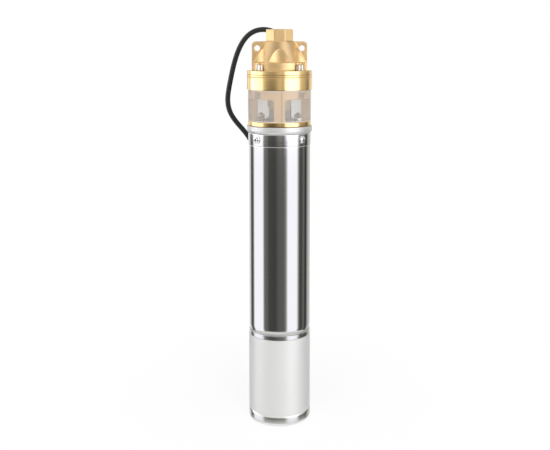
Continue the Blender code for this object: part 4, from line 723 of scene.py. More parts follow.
def curve_tube(name, points, radius, look, resolution=6):
    data = bpy.data.curves.new(name, "CURVE")
    data.dimensions = "3D"
    data.bevel_depth = radius
    data.bevel_resolution = resolution
    data.use_fill_caps = True
    spline = data.splines.new("POLY")
    spline.points.add(len(points) - 1)
    for slot, point in zip(spline.points, points):
        slot.co = (*point, 1.0)
    spline.use_smooth = True
    data.materials.append(finish_named(look))
    return new_object(name, data)


def cord_points(tail_end):
    """The cable's centreline: up behind the outlet, down, round the coil, and to its end."""
    coil_side = COIL_CENTRE - Vector((COIL_R, 0.0, 0.0))
    route = [CABLE_START + Vector(point) * MM for point in CABLE_BEND]
    route += [coil_side + Vector(point) * MM for point in CABLE_FALL]
    points = smooth_route(route, ROUTE_POINTS)
    steps = int(COIL_TURNS * COIL_TURN_POINTS)
    for i in range(1, steps + 1):
        turn = math.pi - math.tau * COIL_TURNS * i / steps
        z = COIL_TOP + (COIL_FOOT - COIL_TOP) * i / steps
        points.append(COIL_CENTRE + Vector((*circle(COIL_R, turn), z)))
    for share in (0.35, 0.7, 1.0):
        points.append(points[-1].lerp(tail_end, share))
    return points


def cable_tail():
    """How far past the coil's side the sheath ends, so that its cores clear the turns."""
    outer = COIL_R + CABLE_R + GAP
    nearest = COIL_R - CORE_BUNCH_R - CORE_R
    return math.sqrt(outer ** 2 - nearest ** 2) + 2 * GAP


class PUMP_OT_cable(bpy.types.Operator):
    """Make the power cable with its coil, tie and bare cores, and its gland and grommet"""
    bl_idname = "pump.cable"
    bl_label = "Power cable"

    def execute(self, context):
        tail_end = COIL_CENTRE + Vector((COIL_R, -cable_tail(), COIL_FOOT + GAP))
        points = cord_points(tail_end)
        cable = curve_tube("sheathed_cable", points, CABLE_R, "cable sheath rubber")
        place_piece(cable, ["power_cable", "cable_coil"])
        cores = [self.core(number, name, tail_end)
                 for number, name in enumerate(("brown", "blue", "earth"))]
        [self.tie()] + cores
        self.gland()
        self.grommet()
        return {"FINISHED"}

    def core(self, number, colour, start):
        """One insulated core, which splays from the bunch in the sheath towards the floor."""
        bunched_x, bunched_z = circle(CORE_BUNCH_R, math.radians(210.0 - 120.0 * number))
        bunched = Vector((bunched_x, 0.0, bunched_z))
        floor = CORE_R + GAP - start.z
        splayed = Vector(((number - 1 - CORE_LEAN) * CORE_SPLAY, 0.0, floor))
        points = []
        for i in range(CORE_POINTS + 1):
            t = i / CORE_POINTS
            forward = Vector((0.0, -CORE_LENGTH * t, 0.0))
            points.append(start + forward + bunched.lerp(splayed, t * t * (3 - 2 * t)))
        made = curve_tube(f"insulated_core_{colour}", points, CORE_R,
                          f"{colour} core insulation", 4)
        return place_piece(made, [f"core_{colour}"])

    def tie(self):
        """The coil's nylon tie: a thin band round the turns."""
        low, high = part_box("coil_tie")
        thickness = 0.8 * MM
        bm = bmesh.new()
        rows = [[bm.verts.new((x, y, z)) for y, z in self.round_loop(low, high, inset)]
                for inset, x in ((0.0, low.x), (0.0, high.x), (thickness, high.x),
                                 (thickness, low.x))]
        for first, second in zip(rows, rows[1:] + rows[:1]):
            bridge(bm, first, second)
        bmesh.ops.recalc_face_normals(bm, faces=bm.faces[:])
        return place_piece(mesh_object("nylon_tie", bm, "nylon tie"), ["coil_tie"])

    def round_loop(self, low, high, inset):
        """A rectangle with round corners across the turns."""
        radius, steps = 2.0 * MM, 6
        near, far = inset + radius, -inset - radius
        result = []
        for corner, (y, z) in enumerate(((high.y + far, high.z + far), (low.y + near, high.z + far),
                                         (low.y + near, low.z + near), (high.y + far, low.z + near))):
            for i in range(steps + 1):
                across, up = circle(radius, math.pi / 2 * (corner + i / steps))
                result.append((y + across, z + up))
        return result

    def gland(self):
        """Brass gland with a turned collar and a chamfered hexagon."""
        foot, top = levels("cable_gland")
        bore, collar, neck, shoulder = mm(4.4, 6.2, 5.2, 1.6)
        bm = turned_mesh(stepped((bore, top), (collar, foot + shoulder), (neck, foot)), 0.3 * MM)
        flats, nut_foot, nut_top, chamfer, bevel = mm(13.0, 1.5, 7.1, 0.6, 0.7)
        add_hexagon(bm, flats, foot + nut_foot, foot + nut_top, chamfer, bevel)
        self.place_round(bm, "gland_body", "turned brass", "turned_brass", "cable_gland")

    def grommet(self):
        """Tapered rubber sleeve with rings that let it bend with the cable."""
        foot, top = levels("cable_grommet")
        outer, tip, straight, slope, lip = mm(5.2, 4.8, 9.0, 0.35, 0.4)
        inner, ring_count, ring_share = CABLE_R + 0.1 * MM, 4, 0.55
        mouth = top - 1.0 * MM
        pitch = (mouth - foot - straight) / ring_count
        outline = [(inner, top), (tip - 0.3 * MM, top)]
        for i in range(ring_count):
            upper, lower = mouth - pitch * i, mouth - pitch * (i + ring_share)
            wide = tip + (outer - tip) * (i + 1) / ring_count
            outline += [(wide - slope, upper), (wide, upper - lip), (wide, lower),
                        (wide - slope, lower - lip)]
        outline += [(outer, foot + straight), (outer, foot), (inner, foot)]
        self.place_round(turned_mesh(outline, 0.2 * MM), "grommet_sleeve", "moulded rubber",
                         "rubber", "cable_grommet")

    def place_round(self, bm, name, look, slot, node):
        """Move a piece that was turned about Z to the cable's place on the head."""
        bmesh.ops.translate(bm, verts=bm.verts, vec=around(CABLE_PITCH_R, CABLE_ANGLE))
        place_piece(mesh_object(name, bm, look), [node])


# Delivery head

class PUMP_OT_head(bpy.types.Operator):
    """Make the cast delivery head, its turned cover plate and the outlet's thread"""
    bl_idname = "pump.head"
    bl_label = "Delivery head"

    def execute(self, context):
        sizes = context.scene.pump_sizes
        self.casting(sizes)
        turned_piece("cover_plate", stepped((0.0, Z_BAND), (BODY_R, Z_COVER)), "turned brass",
                     "turned_brass")
        self.thread(sizes)
        return {"FINISHED"}

    def casting(self, sizes):
        """The casting, whose edges a fine remesh and a smoothing round off."""
        head = turned("cast_head", [
            (0.0, Z_BOSS), (CONE_TOP_R, Z_BOSS), (CONE_FOOT_R, Z_CONE), (SKIRT_R, Z_CONE),
            (SKIRT_R, Z_BAND + 2.2 * MM), (SKIRT_R + 0.6 * MM, Z_BAND + 0.7 * MM),
            (SKIRT_R + 2.2 * MM, Z_BAND), (0.0, Z_BAND)], edge=0.0)
        boss = bmesh.new()
        add_post(boss, polygon_radius(BOSS_FLATS, 8), Z_BOSS - BOSS_DEPTH, Z_TOP, 8,
                 twist=math.pi / 8)
        combine(head, boss, "UNION")
        combine(head, self.ears(), "UNION")
        below, above, fine = Z_BAND - 1.0 * MM, Z_TOP + 5.0 * MM, 2 * ROUND_SIDES
        combine(head, rods_around(POCKET_R, POCKET_PITCH_R, Z_CONE, Z_TOP + 1.0 * MM,
                                  [360.0 / POCKET_COUNT * i for i in range(POCKET_COUNT)], fine))
        combine(head, rods_around(BOLT_RECESS_R, HEAD_BOLT_PITCH_R, below, Z_CONE + 0.6 * MM,
                                  bolt_azimuths()))
        combine(head, rods_around(GLAND_SEAT_R, CABLE_PITCH_R, below,
                                  Z_BAND + GLAND_SEAT_HEIGHT, [CABLE_ANGLE]))
        bore = bmesh.new()
        add_post(bore, BORE_R, Z_TOP - BORE_DEPTH, above, fine)
        add_post(bore, THREAD_SEAT_R, Z_TOP - THREAD_SEAT_DEPTH, above, fine)
        combine(head, bore)
        ropes = bmesh.new()
        reach = Vector((0.0, 2 * EAR_HALF_THICKNESS, 0.0))
        for side in (-1, 1):
            place = Vector((side * ROPE_HOLE_X, 0.0, Z_BOSS - ROPE_HOLE_DROP))
            add_rod(ropes, ROPE_HOLE_R, place - reach, place + reach)
        combine(head, ropes)
        rough = head.modifiers.new("casting", "REMESH")
        rough.mode = "VOXEL"
        rough.voxel_size = sizes.casting_resolution
        smooth = head.modifiers.new("blasting", "SMOOTH")
        smooth.factor = 0.5
        smooth.iterations = 4
        make_plain(head, "cast brass")
        place_piece(head, ["delivery_head"])

    def ears(self):
        """The plate through the head whose ends are the two rope ears."""
        steps = 12
        outline = [(EAR_X, Z_BAND)]
        for i in range(steps + 1):
            across, up = circle(EAR_R, math.pi / 2 * i / steps)
            outline.append((EAR_X - EAR_R + across, Z_BOSS - EAR_R + up))
        outline += [(-x, z) for x, z in reversed(outline)]
        bm = bmesh.new()
        face = bm.faces.new([bm.verts.new((x, -EAR_HALF_THICKNESS, z)) for x, z in outline])
        pushed = bmesh.ops.extrude_face_region(bm, geom=[face])["geom"]
        moved = [item for item in pushed if isinstance(item, bmesh.types.BMVert)]
        bmesh.ops.translate(bm, verts=moved, vec=(0.0, 2 * EAR_HALF_THICKNESS, 0.0))
        bmesh.ops.recalc_face_normals(bm, faces=bm.faces[:])
        return bm

    def thread(self, sizes):
        """Female 1 inch pipe thread cut into the outlet, with a chamfered mouth."""
        top, sides, row_count = Z_TOP - THREAD_INSET, 96, 70
        crest_width, flank_width = 0.12, 0.76
        bm = bmesh.new()
        rows = []
        for row in range(row_count + 1):
            drop = THREAD_LENGTH * row / row_count
            mouth = max(0.0, THREAD_MOUTH - drop)
            ring = []
            for i in range(sides):
                share = ((top - drop) / sizes.thread_pitch + i / sides) % 1.0
                flank = min(1.0, max(0.0, (abs(share - 0.5) * 2 - crest_width) / flank_width))
                radius = THREAD_CREST_R + max(THREAD_DEPTH * flank, mouth)
                ring.append(bm.verts.new((*circle(radius, math.tau * i / sides), top - drop)))
            rows.append(ring)
        for z in (top - THREAD_LENGTH, top):
            rows.append([bm.verts.new((*circle(THREAD_WALL_R, math.tau * i / sides), z))
                         for i in range(sides)])
        for upper, lower in zip(rows, rows[1:] + rows[:1]):
            bridge(bm, upper, lower)
        bmesh.ops.recalc_face_normals(bm, faces=bm.faces[:])
        place_piece(mesh_object("outlet_thread", bm, "turned brass"))


class PUMP_OT_head_bolts(bpy.types.Operator):
    """Make the socket screws that hold the head, each with a spring washer and a flat washer"""
    bl_idname = "pump.head_bolts"
    bl_label = "Head bolts"

    def execute(self, context):
        radius = context.scene.pump_sizes.bolt_head / 2
        seat, top = levels("head_bolt_1")
        head_height, washer, spring_r, flat_r, shank_r = mm(6.0, 1.5, 5.3, 6.0, 3.0)
        foot = top - head_height
        bm = turned_mesh(stepped(
            (0.0, top), (radius, foot), (spring_r, foot - washer), (flat_r, foot - 2 * washer),
            (shank_r, seat)), 0.45 * MM)
        self.knurl(bm, radius)
        bolt = mesh_object("socket bolt", bm)
        key = bmesh.new()
        key_flats, key_depth, above = mm(5.0, 3.2, 2.0)
        add_post(key, polygon_radius(key_flats, 6), top - key_depth, top + above, 6)
        combine(bolt, key)
        look = "zinc-plated steel"
        ring_of("head_bolts", make_plain(bolt, look), "head_bolt", HEAD_BOLT_PITCH_R, 0.0, look)
        return {"FINISHED"}

    def knurl(self, bm, radius):
        """Press every other line of a head's side in, which leaves upright ridges round it."""
        depth, step = 0.3 * MM, math.tau / ROUND_SIDES
        for point in bm.verts:
            flat = point.co.xy
            line = round(math.atan2(flat.y, flat.x) / step)
            if flat.length > radius - 0.02 * MM and line % 2:
                point.co.xy = flat * (1.0 - depth / radius)


# Pump body and strainer

class PUMP_OT_pump_body(bpy.types.Operator):
    """Make the pump body: its ring, plate, seal housing, four columns and lower ring"""
    bl_idname = "pump.pump_body"
    bl_label = "Pump body"

    def execute(self, context):
        groove, shallow = Z_JOINT - 3.2 * MM, BODY_R - 0.45 * MM
        mouth, bottom = mm(0.4, 0.2)
        turned_piece("body_ring", [
            (BODY_BORE_R, Z_JOINT), (BODY_R, Z_JOINT), (BODY_R, groove + mouth),
            (shallow, groove + bottom), (shallow, groove - bottom), (BODY_R, groove - mouth),
            (BODY_R, Z_BODY_RING), (BODY_BORE_R, Z_BODY_RING)],
            "turned brass", "turned_brass", ["pump_body"])
        self.plate()
        self.seal_housing()
        turned_piece("lower_body_ring",
                     stepped((CAGE_IN_R, Z_COLUMN), (LOWER_RING_R, Z_CAGE_FOOT)),
                     "turned brass", "turned_brass", edge=0.8 * MM)
        self.columns()
        return {"FINISHED"}

    def plate(self):
        """The plate between the impeller's chamber and the columns, with its bolt recesses."""
        floor, recess_pitch_r = Z_JOINT - 13.4 * MM, 46.0 * MM
        plate = turned("body_plate", stepped(
            (SHAFT_BORE_R, floor), (BODY_BORE_R, Z_BODY_RING), (CAGE_R, Z_PLATE)))
        combine(plate, rods_around(BOLT_RECESS_R, recess_pitch_r, Z_PLATE - 4.0 * MM,
                                   Z_BODY_RING - 3.0 * MM, bolt_azimuths()))
        # Its finish paints shade on the plate, darker inwards from its rim and in the bolt recesses
        make_plain(plate, "cast plate brass")
        place_piece(plate)

    def seal_housing(self):
        """The stepped sleeve under the plate that holds the mechanical seal's seat."""
        step, neck, seat = (Z_PLATE - depth for depth in mm(13.0, 18.0, 4.0))
        # Its finish paints shade on the housing, for the shadow it lies in inside the strainer
        turned_piece("seal_housing", stepped(
            (SHAFT_BORE_R, Z_PLATE), (HOUSING_R, step), (HOUSING_NECK_R, neck),
            (HOUSING_BORE_R, seat)), "cast housing brass", "turned_brass")

    def columns(self):
        """Four cast columns with filleted roots between the plate and the lower ring."""
        root, half, reach = mm(1.0, 8.0, 100.0)
        cage = turned("body_columns", stepped(
            (CAGE_IN_R, Z_PLATE + root), (CAGE_R - 0.2 * MM, Z_COLUMN - root)), edge=0.0)
        windows = bmesh.new()
        for x_side in (-1, 1):
            for y_side in (-1, 1):
                (x_low, x_high), (y_low, y_high) = (
                    sorted((side * half, side * reach)) for side in (x_side, y_side))
                add_box(windows, (x_low, y_low, Z_COLUMN), (x_high, y_high, Z_PLATE))
        bmesh.ops.bevel(windows, geom=windows.edges[:], offset=4.0 * MM, offset_type="OFFSET",
                        segments=8, profile=0.5, affect="EDGES")
        combine(cage, windows)
        # Its finish paints shade on the columns, darker towards the axis, for the shadow inside the
        # strainer
        make_plain(cage, "cast column brass")
        place_piece(cage)


class PUMP_OT_strainer(bpy.types.Operator):
    """Roll the perforated sheet round the columns, with plain edges and a lapped seam"""
    bl_idname = "pump.strainer"
    bl_label = "Strainer"

    def execute(self, context):
        sizes = context.scene.pump_sizes
        thickness, border, look = sizes.sheet_thickness, 1.2 * MM, "etched stainless sheet"
        height, round_length = Z_SHEET_TOP - Z_SHEET_FOOT - 2 * border, math.tau * STRAINER_R
        columns = round(round_length / sizes.perforation_pitch)
        rows = round(height / (sizes.perforation_pitch * math.sqrt(3) / 2))
        pitch, row_height = round_length / columns, height / rows
        cell = self.cell(pitch, row_height, sizes.perforation_diameter / 2, thickness)
        sheet = run_tree("strainer_sheet", perforated_tree(), {
            "Cell": cell, "Columns": columns, "Rows": rows, "Pitch": pitch,
            "Row Height": row_height, "Foot": Z_SHEET_FOOT + border, "Radius": STRAINER_R},
            look, cell)
        place_piece(sheet, ["strainer"])
        for name, low, high in (("foot", Z_SHEET_FOOT, Z_SHEET_FOOT + border),
                                ("head", Z_SHEET_TOP - border, Z_SHEET_TOP)):
            turned_piece(f"strainer_{name}_edge",
                         stepped((STRAINER_R - thickness, high), (STRAINER_R, low)), look,
                         "stainless", edge=0.1 * MM)
        self.seam(thickness)
        return {"FINISHED"}

    def cell(self, pitch, height, radius, thickness):
        """One flat cell with a round hole, whose rim meets its neighbours point to point."""
        bm = bmesh.new()
        w, h = pitch / 2, height / 2
        rim = [(w, 0.0), (w, h), (0.0, h), (-w, h), (-w, 0.0), (-w, -h), (0.0, -h), (w, -h)]
        hole = [circle(radius, math.tau * i / len(rim)) for i in range(len(rim))]
        front, front_hole, back, back_hole = (
            [bm.verts.new((x, y, z)) for x, z in row]
            for y in (0.0, -thickness) for row in (rim, hole))
        bridge(bm, front_hole, front)
        bridge(bm, back, back_hole)
        bridge(bm, back_hole, front_hole)
        return mesh_object("perforated cell", bm)

    def seam(self, thickness):
        """The sheet's lapped seam: a narrow plain strip near the front, whose darker finish paints
        the lap's shadow line.
        """
        bm = bmesh.new()
        half, proud, edge = mm(0.5, 0.05, 0.04)
        azimuth = math.radians(4.0)
        add_box(bm, (-half, -STRAINER_R - proud, Z_SHEET_FOOT),
                (half, -STRAINER_R + thickness * 0.6, Z_SHEET_TOP))
        bmesh.ops.bevel(bm, geom=bm.edges[:], offset=edge, segments=2, affect="EDGES")
        bmesh.ops.transform(bm, verts=bm.verts, matrix=Matrix.Rotation(azimuth, 4, "Z"))
        place_piece(mesh_object("strainer_seam", bm, "weld seam"))


class PUMP_OT_body_studs(bpy.types.Operator):
    """Make the studs inside the strainer, each with a washer, a hexagon nut and a threaded end"""
    bl_idname = "pump.body_studs"
    bl_label = "Body studs"

    def execute(self, context):
        low, high = levels("body_stud_1")
        radius, root, tip, washer_r = mm(3.0, 2.6, 2.4, 5.5)
        seat = Z_COLUMN + GAP
        nut, nut_top = seat + 1.5 * MM, seat + 6.5 * MM
        ridge, ridge_count = 0.9 * MM, 3
        outline = [(0.0, high), (tip, high), (radius, high - 0.6 * MM)]
        for i in range(ridge_count):
            z = high - 0.7 * MM - ridge * i
            outline += [(radius, z), (root, z - ridge * 0.45)]
        outline += [(radius, nut_top), (radius, nut), (washer_r, nut), (washer_r, seat),
                    (radius, seat), (radius, low), (0.0, low)]
        bm = turned_mesh(outline, 0.12 * MM, 36)
        add_hexagon(bm, 10.0 * MM, nut, nut_top, 0.6 * MM, 0.9 * MM)
        look = "dull steel"
        ring_of("body_studs", mesh_object("stud", bm, look), "body_stud", STUD_PITCH_R, 0.0, look)
        return {"FINISHED"}


# Motor

class PUMP_OT_motor_flange(bpy.types.Operator):
    """Make the motor flange: the satin lip above the tube and the hub with its seal guard"""
    bl_idname = "pump.motor_flange"
    bl_label = "Motor flange"

    def execute(self, context):
        guard, web, bore = Z_HUB_TOP + GUARD_HEIGHT, Z_LIP + 4.0 * MM, 30.0 * MM
        turned_piece("flange_hub", stepped(
            (HUB_BORE_R, Z_HUB_TOP), (GUARD_BORE_R, guard), (GUARD_R, Z_HUB_TOP),
            (HUB_R, web)), "machined steel", "satin_steel", edge=0.5 * MM)
        inner = HUB_R - 0.2 * MM
        turned_piece("flange_lip", [
            (inner, Z_LIP_TOP), (LIP_R, Z_LIP_TOP), (LIP_R, Z_LIP + 3.4 * MM),
            (LIP_R - 1.2 * MM, Z_LIP + 1.0 * MM), (LIP_R - 2.6 * MM, Z_LIP), (bore, Z_LIP),
            (bore, web), (inner, web)], "satin steel", "satin_steel", ["motor_flange"],
            edge=0.9 * MM)
        return {"FINISHED"}


class PUMP_OT_clamp_ring(bpy.types.Operator):
    """Make the polished clamp ring with its four button-head screws"""
    bl_idname = "pump.clamp_ring"
    bl_label = "Clamp ring"

    # A screw's outline in millimetres: the button head, its washer face and the shank
    SCREW = ((0.0, 2.4), (2.4, 2.4), (3.5, 2.1), (4.4, 1.5), (4.9, 0.8), (5.0, 0.45), (6.2, 0.35),
             (6.2, -0.1), (4.6, -0.25), (2.0, -0.25), (2.0, -6.8), (0.0, -6.8))

    def execute(self, context):
        look, bore = "polished stainless steel", 45.3 * MM
        turned_piece("clamp_collar", stepped((bore, Z_CLAMP_TOP), (CLAMP_R, Z_CLAMP_FOOT)), look,
                     "stainless", ["clamp_ring"], edge=0.5 * MM)
        bm = turned_mesh([mm(*point) for point in self.SCREW], 0.15 * MM, 40)
        bmesh.ops.transform(bm, verts=bm.verts, matrix=Matrix.Rotation(math.radians(90), 4, "X"))
        screw = mesh_object("button screw", bm)
        key = bmesh.new()
        add_rod(key, polygon_radius(4.0 * MM, 6), Vector((0, -0.6 * MM, 0)),
                Vector((0, -4.0 * MM, 0)), 6)
        combine(screw, key)
        ring_of("clamp_screws", make_plain(screw, look), "clamp_screw", CLAMP_R + GAP,
                Z_CLAMP_SCREW, look)
        return {"FINISHED"}


class PUMP_OT_motor_tube(bpy.types.Operator):
    """Make the motor's polished tube, whose lower edge is rolled in, and the rim under it"""
    bl_idname = "pump.motor_tube"
    bl_label = "Motor tube"

    def execute(self, context):
        bore, roll_depth, roll_height, rim_bore, rim_r = mm(45.0, 1.0, 8.0, 40.0, 45.6)
        steps = 8
        rolled = [(TUBE_R - roll_depth * (i / steps) ** 2,
                   Z_TUBE_FOOT + roll_height * (1 - i / steps)) for i in range(steps + 1)]
        turned_piece("motor_barrel", [
            (bore, Z_TUBE_TOP), (TUBE_R, Z_TUBE_TOP), *rolled, (bore, Z_TUBE_FOOT)],
            "polished stainless steel", "stainless", ["motor_tube"], edge=0.3 * MM)
        turned_piece("bracket_rim",
                     stepped((rim_bore, Z_TUBE_FOOT - GAP), (rim_r, Z_RIM_TOP + GAP)),
                     "satin steel", "satin_steel", edge=0.3 * MM)
        return {"FINISHED"}


class PUMP_OT_lower_shell(bpy.types.Operator):
    """Make the capacitor housing: polished rim, matt band and rounded bottom cap"""
    bl_idname = "pump.lower_shell"
    bl_label = "Lower shell"

    def execute(self, context):
        bore, step_r, band_bore, rim_foot = *mm(44.3, 45.8, 46.1), Z_SATIN_TOP + GAP
        turned_piece("shell_rim", stepped(
            (bore, Z_RIM_TOP), (RIM_R, rim_foot), (step_r, Z_SHELL_FOOT)),
            "turned stainless steel", "stainless", ["lower_shell"], edge=0.9 * MM)
        turned_piece("silver_band", stepped((band_bore, Z_SATIN_TOP), (SATIN_R, Z_SATIN_FOOT)),
                     "matt silver film", "satin_band", ["satin_band"], edge=0.15 * MM)
        radius, floor, cap_bore = mm(7.0, 4.0, 46.2)
        steps = 8
        foot_edge = []
        for i in range(steps + 1):
            across, up = circle(radius, -math.pi / 2 * i / steps)
            foot_edge.append((CAP_R - radius + across, radius + up))
        turned_piece("foot_cap", [
            (0.0, floor), (cap_bore, floor), (cap_bore, Z_CAP_TOP),
            (CAP_R - 0.8 * MM, Z_CAP_TOP), (CAP_R, Z_CAP_TOP - 1.5 * MM), *foot_edge, (0.0, 0.0)],
            "turned stainless steel", "stainless", ["bottom_cap"], edge=0.25 * MM)
        return {"FINISHED"}


class PUMP_OT_shaft_seal(bpy.types.Operator):
    """Make the parts of the seal that turn with the shaft: its carbon ring, spring and clip"""
    bl_idname = "pump.shaft_seal"
    bl_label = "Shaft seal"

    def execute(self, context):
        bore, face, back, clip_r, shoulder = mm(8.8, 12.0, 10.5, 11.0, 1.5)
        low, high = levels("seal_ring")
        turned_piece("carbon_ring", stepped((bore, high), (face, low + shoulder), (back, low)),
                     "seal carbon", "seal_carbon", ["seal_ring"], "rotor", edge=0.2 * MM,
                     steps=64)
        self.spring()
        low, high = levels("spring_clip")
        turned_piece("retaining_clip", stepped((bore, high), (clip_r, low)),
                     "polished stainless steel", "stainless", ["spring_clip"], "rotor",
                     edge=0.3 * MM, steps=64)
        return {"FINISHED"}

    def spring(self):
        """The seal's spring, wound round the shaft."""
        low, high = levels("seal_spring")
        wire, radius = mm(0.75, 10.1)
        turns, turn_points = 4, 24
        steps, pitch = turns * turn_points, (high - low - 2 * wire) / turns
        points = [(*circle(radius, math.tau * i / turn_points), low + wire + pitch * i / turn_points)
                  for i in range(steps + 1)]
        spring = curve_tube("seal_coil_spring", points, wire, "polished stainless steel", 3)
        place_piece(spring, ["seal_spring"], "rotor")


class PUMP_OT_inner_parts(bpy.types.Operator):
    """Give the CAD nodes that stay, most of them inside the pump, their finishes"""
    bl_idname = "pump.inner_parts"
    bl_label = "Inner parts"

    def execute(self, context):
        by_slot = {
            "cast_brass": "cast brass", "turned_brass": "turned brass",
            "stainless": "polished stainless steel", "satin_steel": "satin steel",
            "satin_band": "matt silver film", "machine_steel": "ground steel",
            "copper": "varnished copper", "seal_ceramic": "seal ceramic",
            "seal_carbon": "seal carbon", "rubber": "moulded rubber",
            "grey_plastic": "grey nylon", "cable_sheath": "cable sheath rubber",
            "nylon": "nylon tie", "core_brown": "brown core insulation",
            "core_blue": "blue core insulation", "core_earth": "earth core insulation",
        }
        slots = {part["node"]: part["material_slot"] for part in frame["record"]["subparts"]}
        for name, node in frame["nodes"].items():
            if not node.hide_render:
                node.data.materials.clear()
                node.data.materials.append(finish_named(by_slot[slots[name]]))
        return {"FINISHED"}


# Stage

class PUMP_OT_stage(bpy.types.Operator):
    """Set up the pale floor, the white surroundings, the lamps and the camera"""
    bl_idname = "pump.stage"
    bl_label = "Stage"

    CAMERA_PLACE = (0.0, -1.2917, 0.5723)
    CAMERA_TILT = 85.0
    LENS, SENSOR = 56.3, 36.0
    SHIFT = (-0.0082, -0.1905)
    # Azimuth, height and share of the key light's power of each lamp
    LAMPS = ((-25.0, 1.2, 0.72), (20.0, 1.0, 1.12))
    LAMP_DISTANCE, LAMP_WIDTH, LAMP_HEIGHT, LAMP_AIM = 1.6, 0.7, 1.4, 0.35
    PANEL_R, PANEL_FOOT, PANEL_TOP, PANEL_SIDES = 1.9, -1.7, 4.0, 180
    # Azimuth and brightness of the panels that the motor, the rings and the casting mirror
    MOTOR_PANELS = (
        (-180, 0.85), (-150, 0.8), (-138, 0.55), (-130, 0.08), (-115, 0.08), (-106, 1.0),
        (-65, 1.0), (-59, 0.2), (-56, 0.13), (-46, 0.12), (-40, 0.06), (-16, 0.05), (-9, 0.075),
        (-2, 0.1), (14, 0.105), (21, 0.16), (25, 0.3), (31, 1.0), (67, 1.0), (72, 0.5),
        (78, 0.08), (90, 0.05), (97, 0.12), (103, 0.13), (110, 0.035), (117, 0.03), (126, 0.3),
        (134, 0.45), (152, 0.6), (180, 0.85))
    RING_PANELS = (
        (-180, 0.27), (-150, 0.4), (-139, 0.37), (-124, 0.28), (-112, 1.0), (-64, 0.8),
        (-58, 0.31), (-50, 0.18), (-42, 0.09), (-30, 0.05), (-18, 0.045), (-8, 0.14), (0, 0.23),
        (7, 0.23), (13, 0.09), (18, 0.28), (22, 1.0), (68, 1.0), (74, 0.32), (84, 0.2),
        (94, 0.2), (104, 0.14), (116, 0.06), (122, 0.11), (134, 0.3), (150, 0.32), (180, 0.27))
    CASTING_PANELS = (
        (-180, 0.26), (-135, 0.3), (-105, 0.45), (-90, 0.4), (-75, 0.31), (-53, 0.31),
        (-27, 0.29), (-8, 0.28), (4, 0.29), (12, 0.32), (21, 0.44), (35, 0.58), (50, 0.62),
        (65, 0.57), (80, 0.4), (95, 0.28), (120, 0.24), (180, 0.24))
    UNDER_PANEL = (0.68, 0.68, 0.67, 1.0)
    # Heights between which one panel takes over from the one before, and the panels' fading
    RING_RISE, CASTING_RISE, CASTING_END, UNDER_RISE = (
        (0.262, 0.276), (0.475, 0.505), (2.8, 1.4), (-0.93, -1.03))
    FADE_FOOT, FADE_TOP, FADED = 1.2, 2.2, 0.4
    # How much warmer the dark gaps are than the panels
    MOTOR_WARMTH, HEAD_WARMTH = 0.15, 0.4
    # The floor turns from a lit sheet to plain white between these distances
    FLOOR_R, FLOOR_LIT, FLOOR_WHITE, FLOOR_GLOW = 6.0, 0.1, 0.9, 1.05

    def execute(self, context):
        settings = context.scene.pump_stage
        context.scene.view_settings.view_transform = "Standard"
        self.camera(context.scene)
        self.floor()
        self.sky(context.scene, settings)
        self.panels(settings)
        for azimuth, height, share in self.LAMPS:
            self.lamp(azimuth, height, share * settings.key_power)
        return {"FINISHED"}

    def camera(self, scene):
        """The photograph's view: a little above the middle, looking down by five degrees."""
        data = bpy.data.cameras.new("camera")
        data.sensor_width, data.lens = self.SENSOR, self.LENS
        data.shift_x, data.shift_y = self.SHIFT
        scene.camera = new_object("camera", data)
        scene.camera.location = self.CAMERA_PLACE
        scene.camera.rotation_euler = (math.radians(self.CAMERA_TILT), 0.0, 0.0)

    def floor(self):
        """A white sheet that keeps a faint shadow near the pump and is plain white further off."""
        bm = bmesh.new()
        bmesh.ops.create_circle(bm, cap_ends=True, segments=64, radius=self.FLOOR_R)
        made = mesh_object("floor", bm)
        look = bpy.data.materials.new("white studio floor")
        node = empty_tree(look)
        paper = node("ShaderNodeBsdfDiffuse", {"Color": (*linear("f4f4f4"), 1.0)})
        glow = node("ShaderNodeEmission", {"Strength": self.FLOOR_GLOW})
        away = node("ShaderNodeVectorMath", {0: node("ShaderNodeTexCoord").outputs["Object"]},
                    operation="LENGTH")
        white = node("ShaderNodeMapRange", {
            "Value": away, "From Min": self.FLOOR_LIT, "From Max": self.FLOOR_WHITE,
            "To Min": 0.85, "To Max": 1.0})
        share = node("ShaderNodeMath", {
            0: node("ShaderNodeLightPath").outputs["Is Camera Ray"], 1: white},
            operation="MULTIPLY")
        mix = node("ShaderNodeMixShader", {0: share, 1: paper, 2: glow})
        node("ShaderNodeOutputMaterial", {"Surface": mix})
        made.data.materials.append(look)
        made.visible_glossy = False

    def sky(self, scene, settings):
        """An even white surround: plain white where seen, a little lower where it lights."""
        scene.world = bpy.data.worlds.new("white surround")
        node = empty_tree(scene.world)
        path = node("ShaderNodeLightPath").outputs
        seen = path["Is Camera Ray"]
        for ray in ("Is Glossy Ray", "Is Transmission Ray"):
            seen = node("ShaderNodeMath", {0: seen, 1: path[ray]}, operation="MAXIMUM")
        strength = node("ShaderNodeMapRange", {
            "Value": seen, "To Min": settings.world_strength, "To Max": 1.0})
        back = node("ShaderNodeBackground", {"Color": (1.0, 1.0, 1.0, 1.0), "Strength": strength})
        node("ShaderNodeOutputWorld", {"Surface": back})

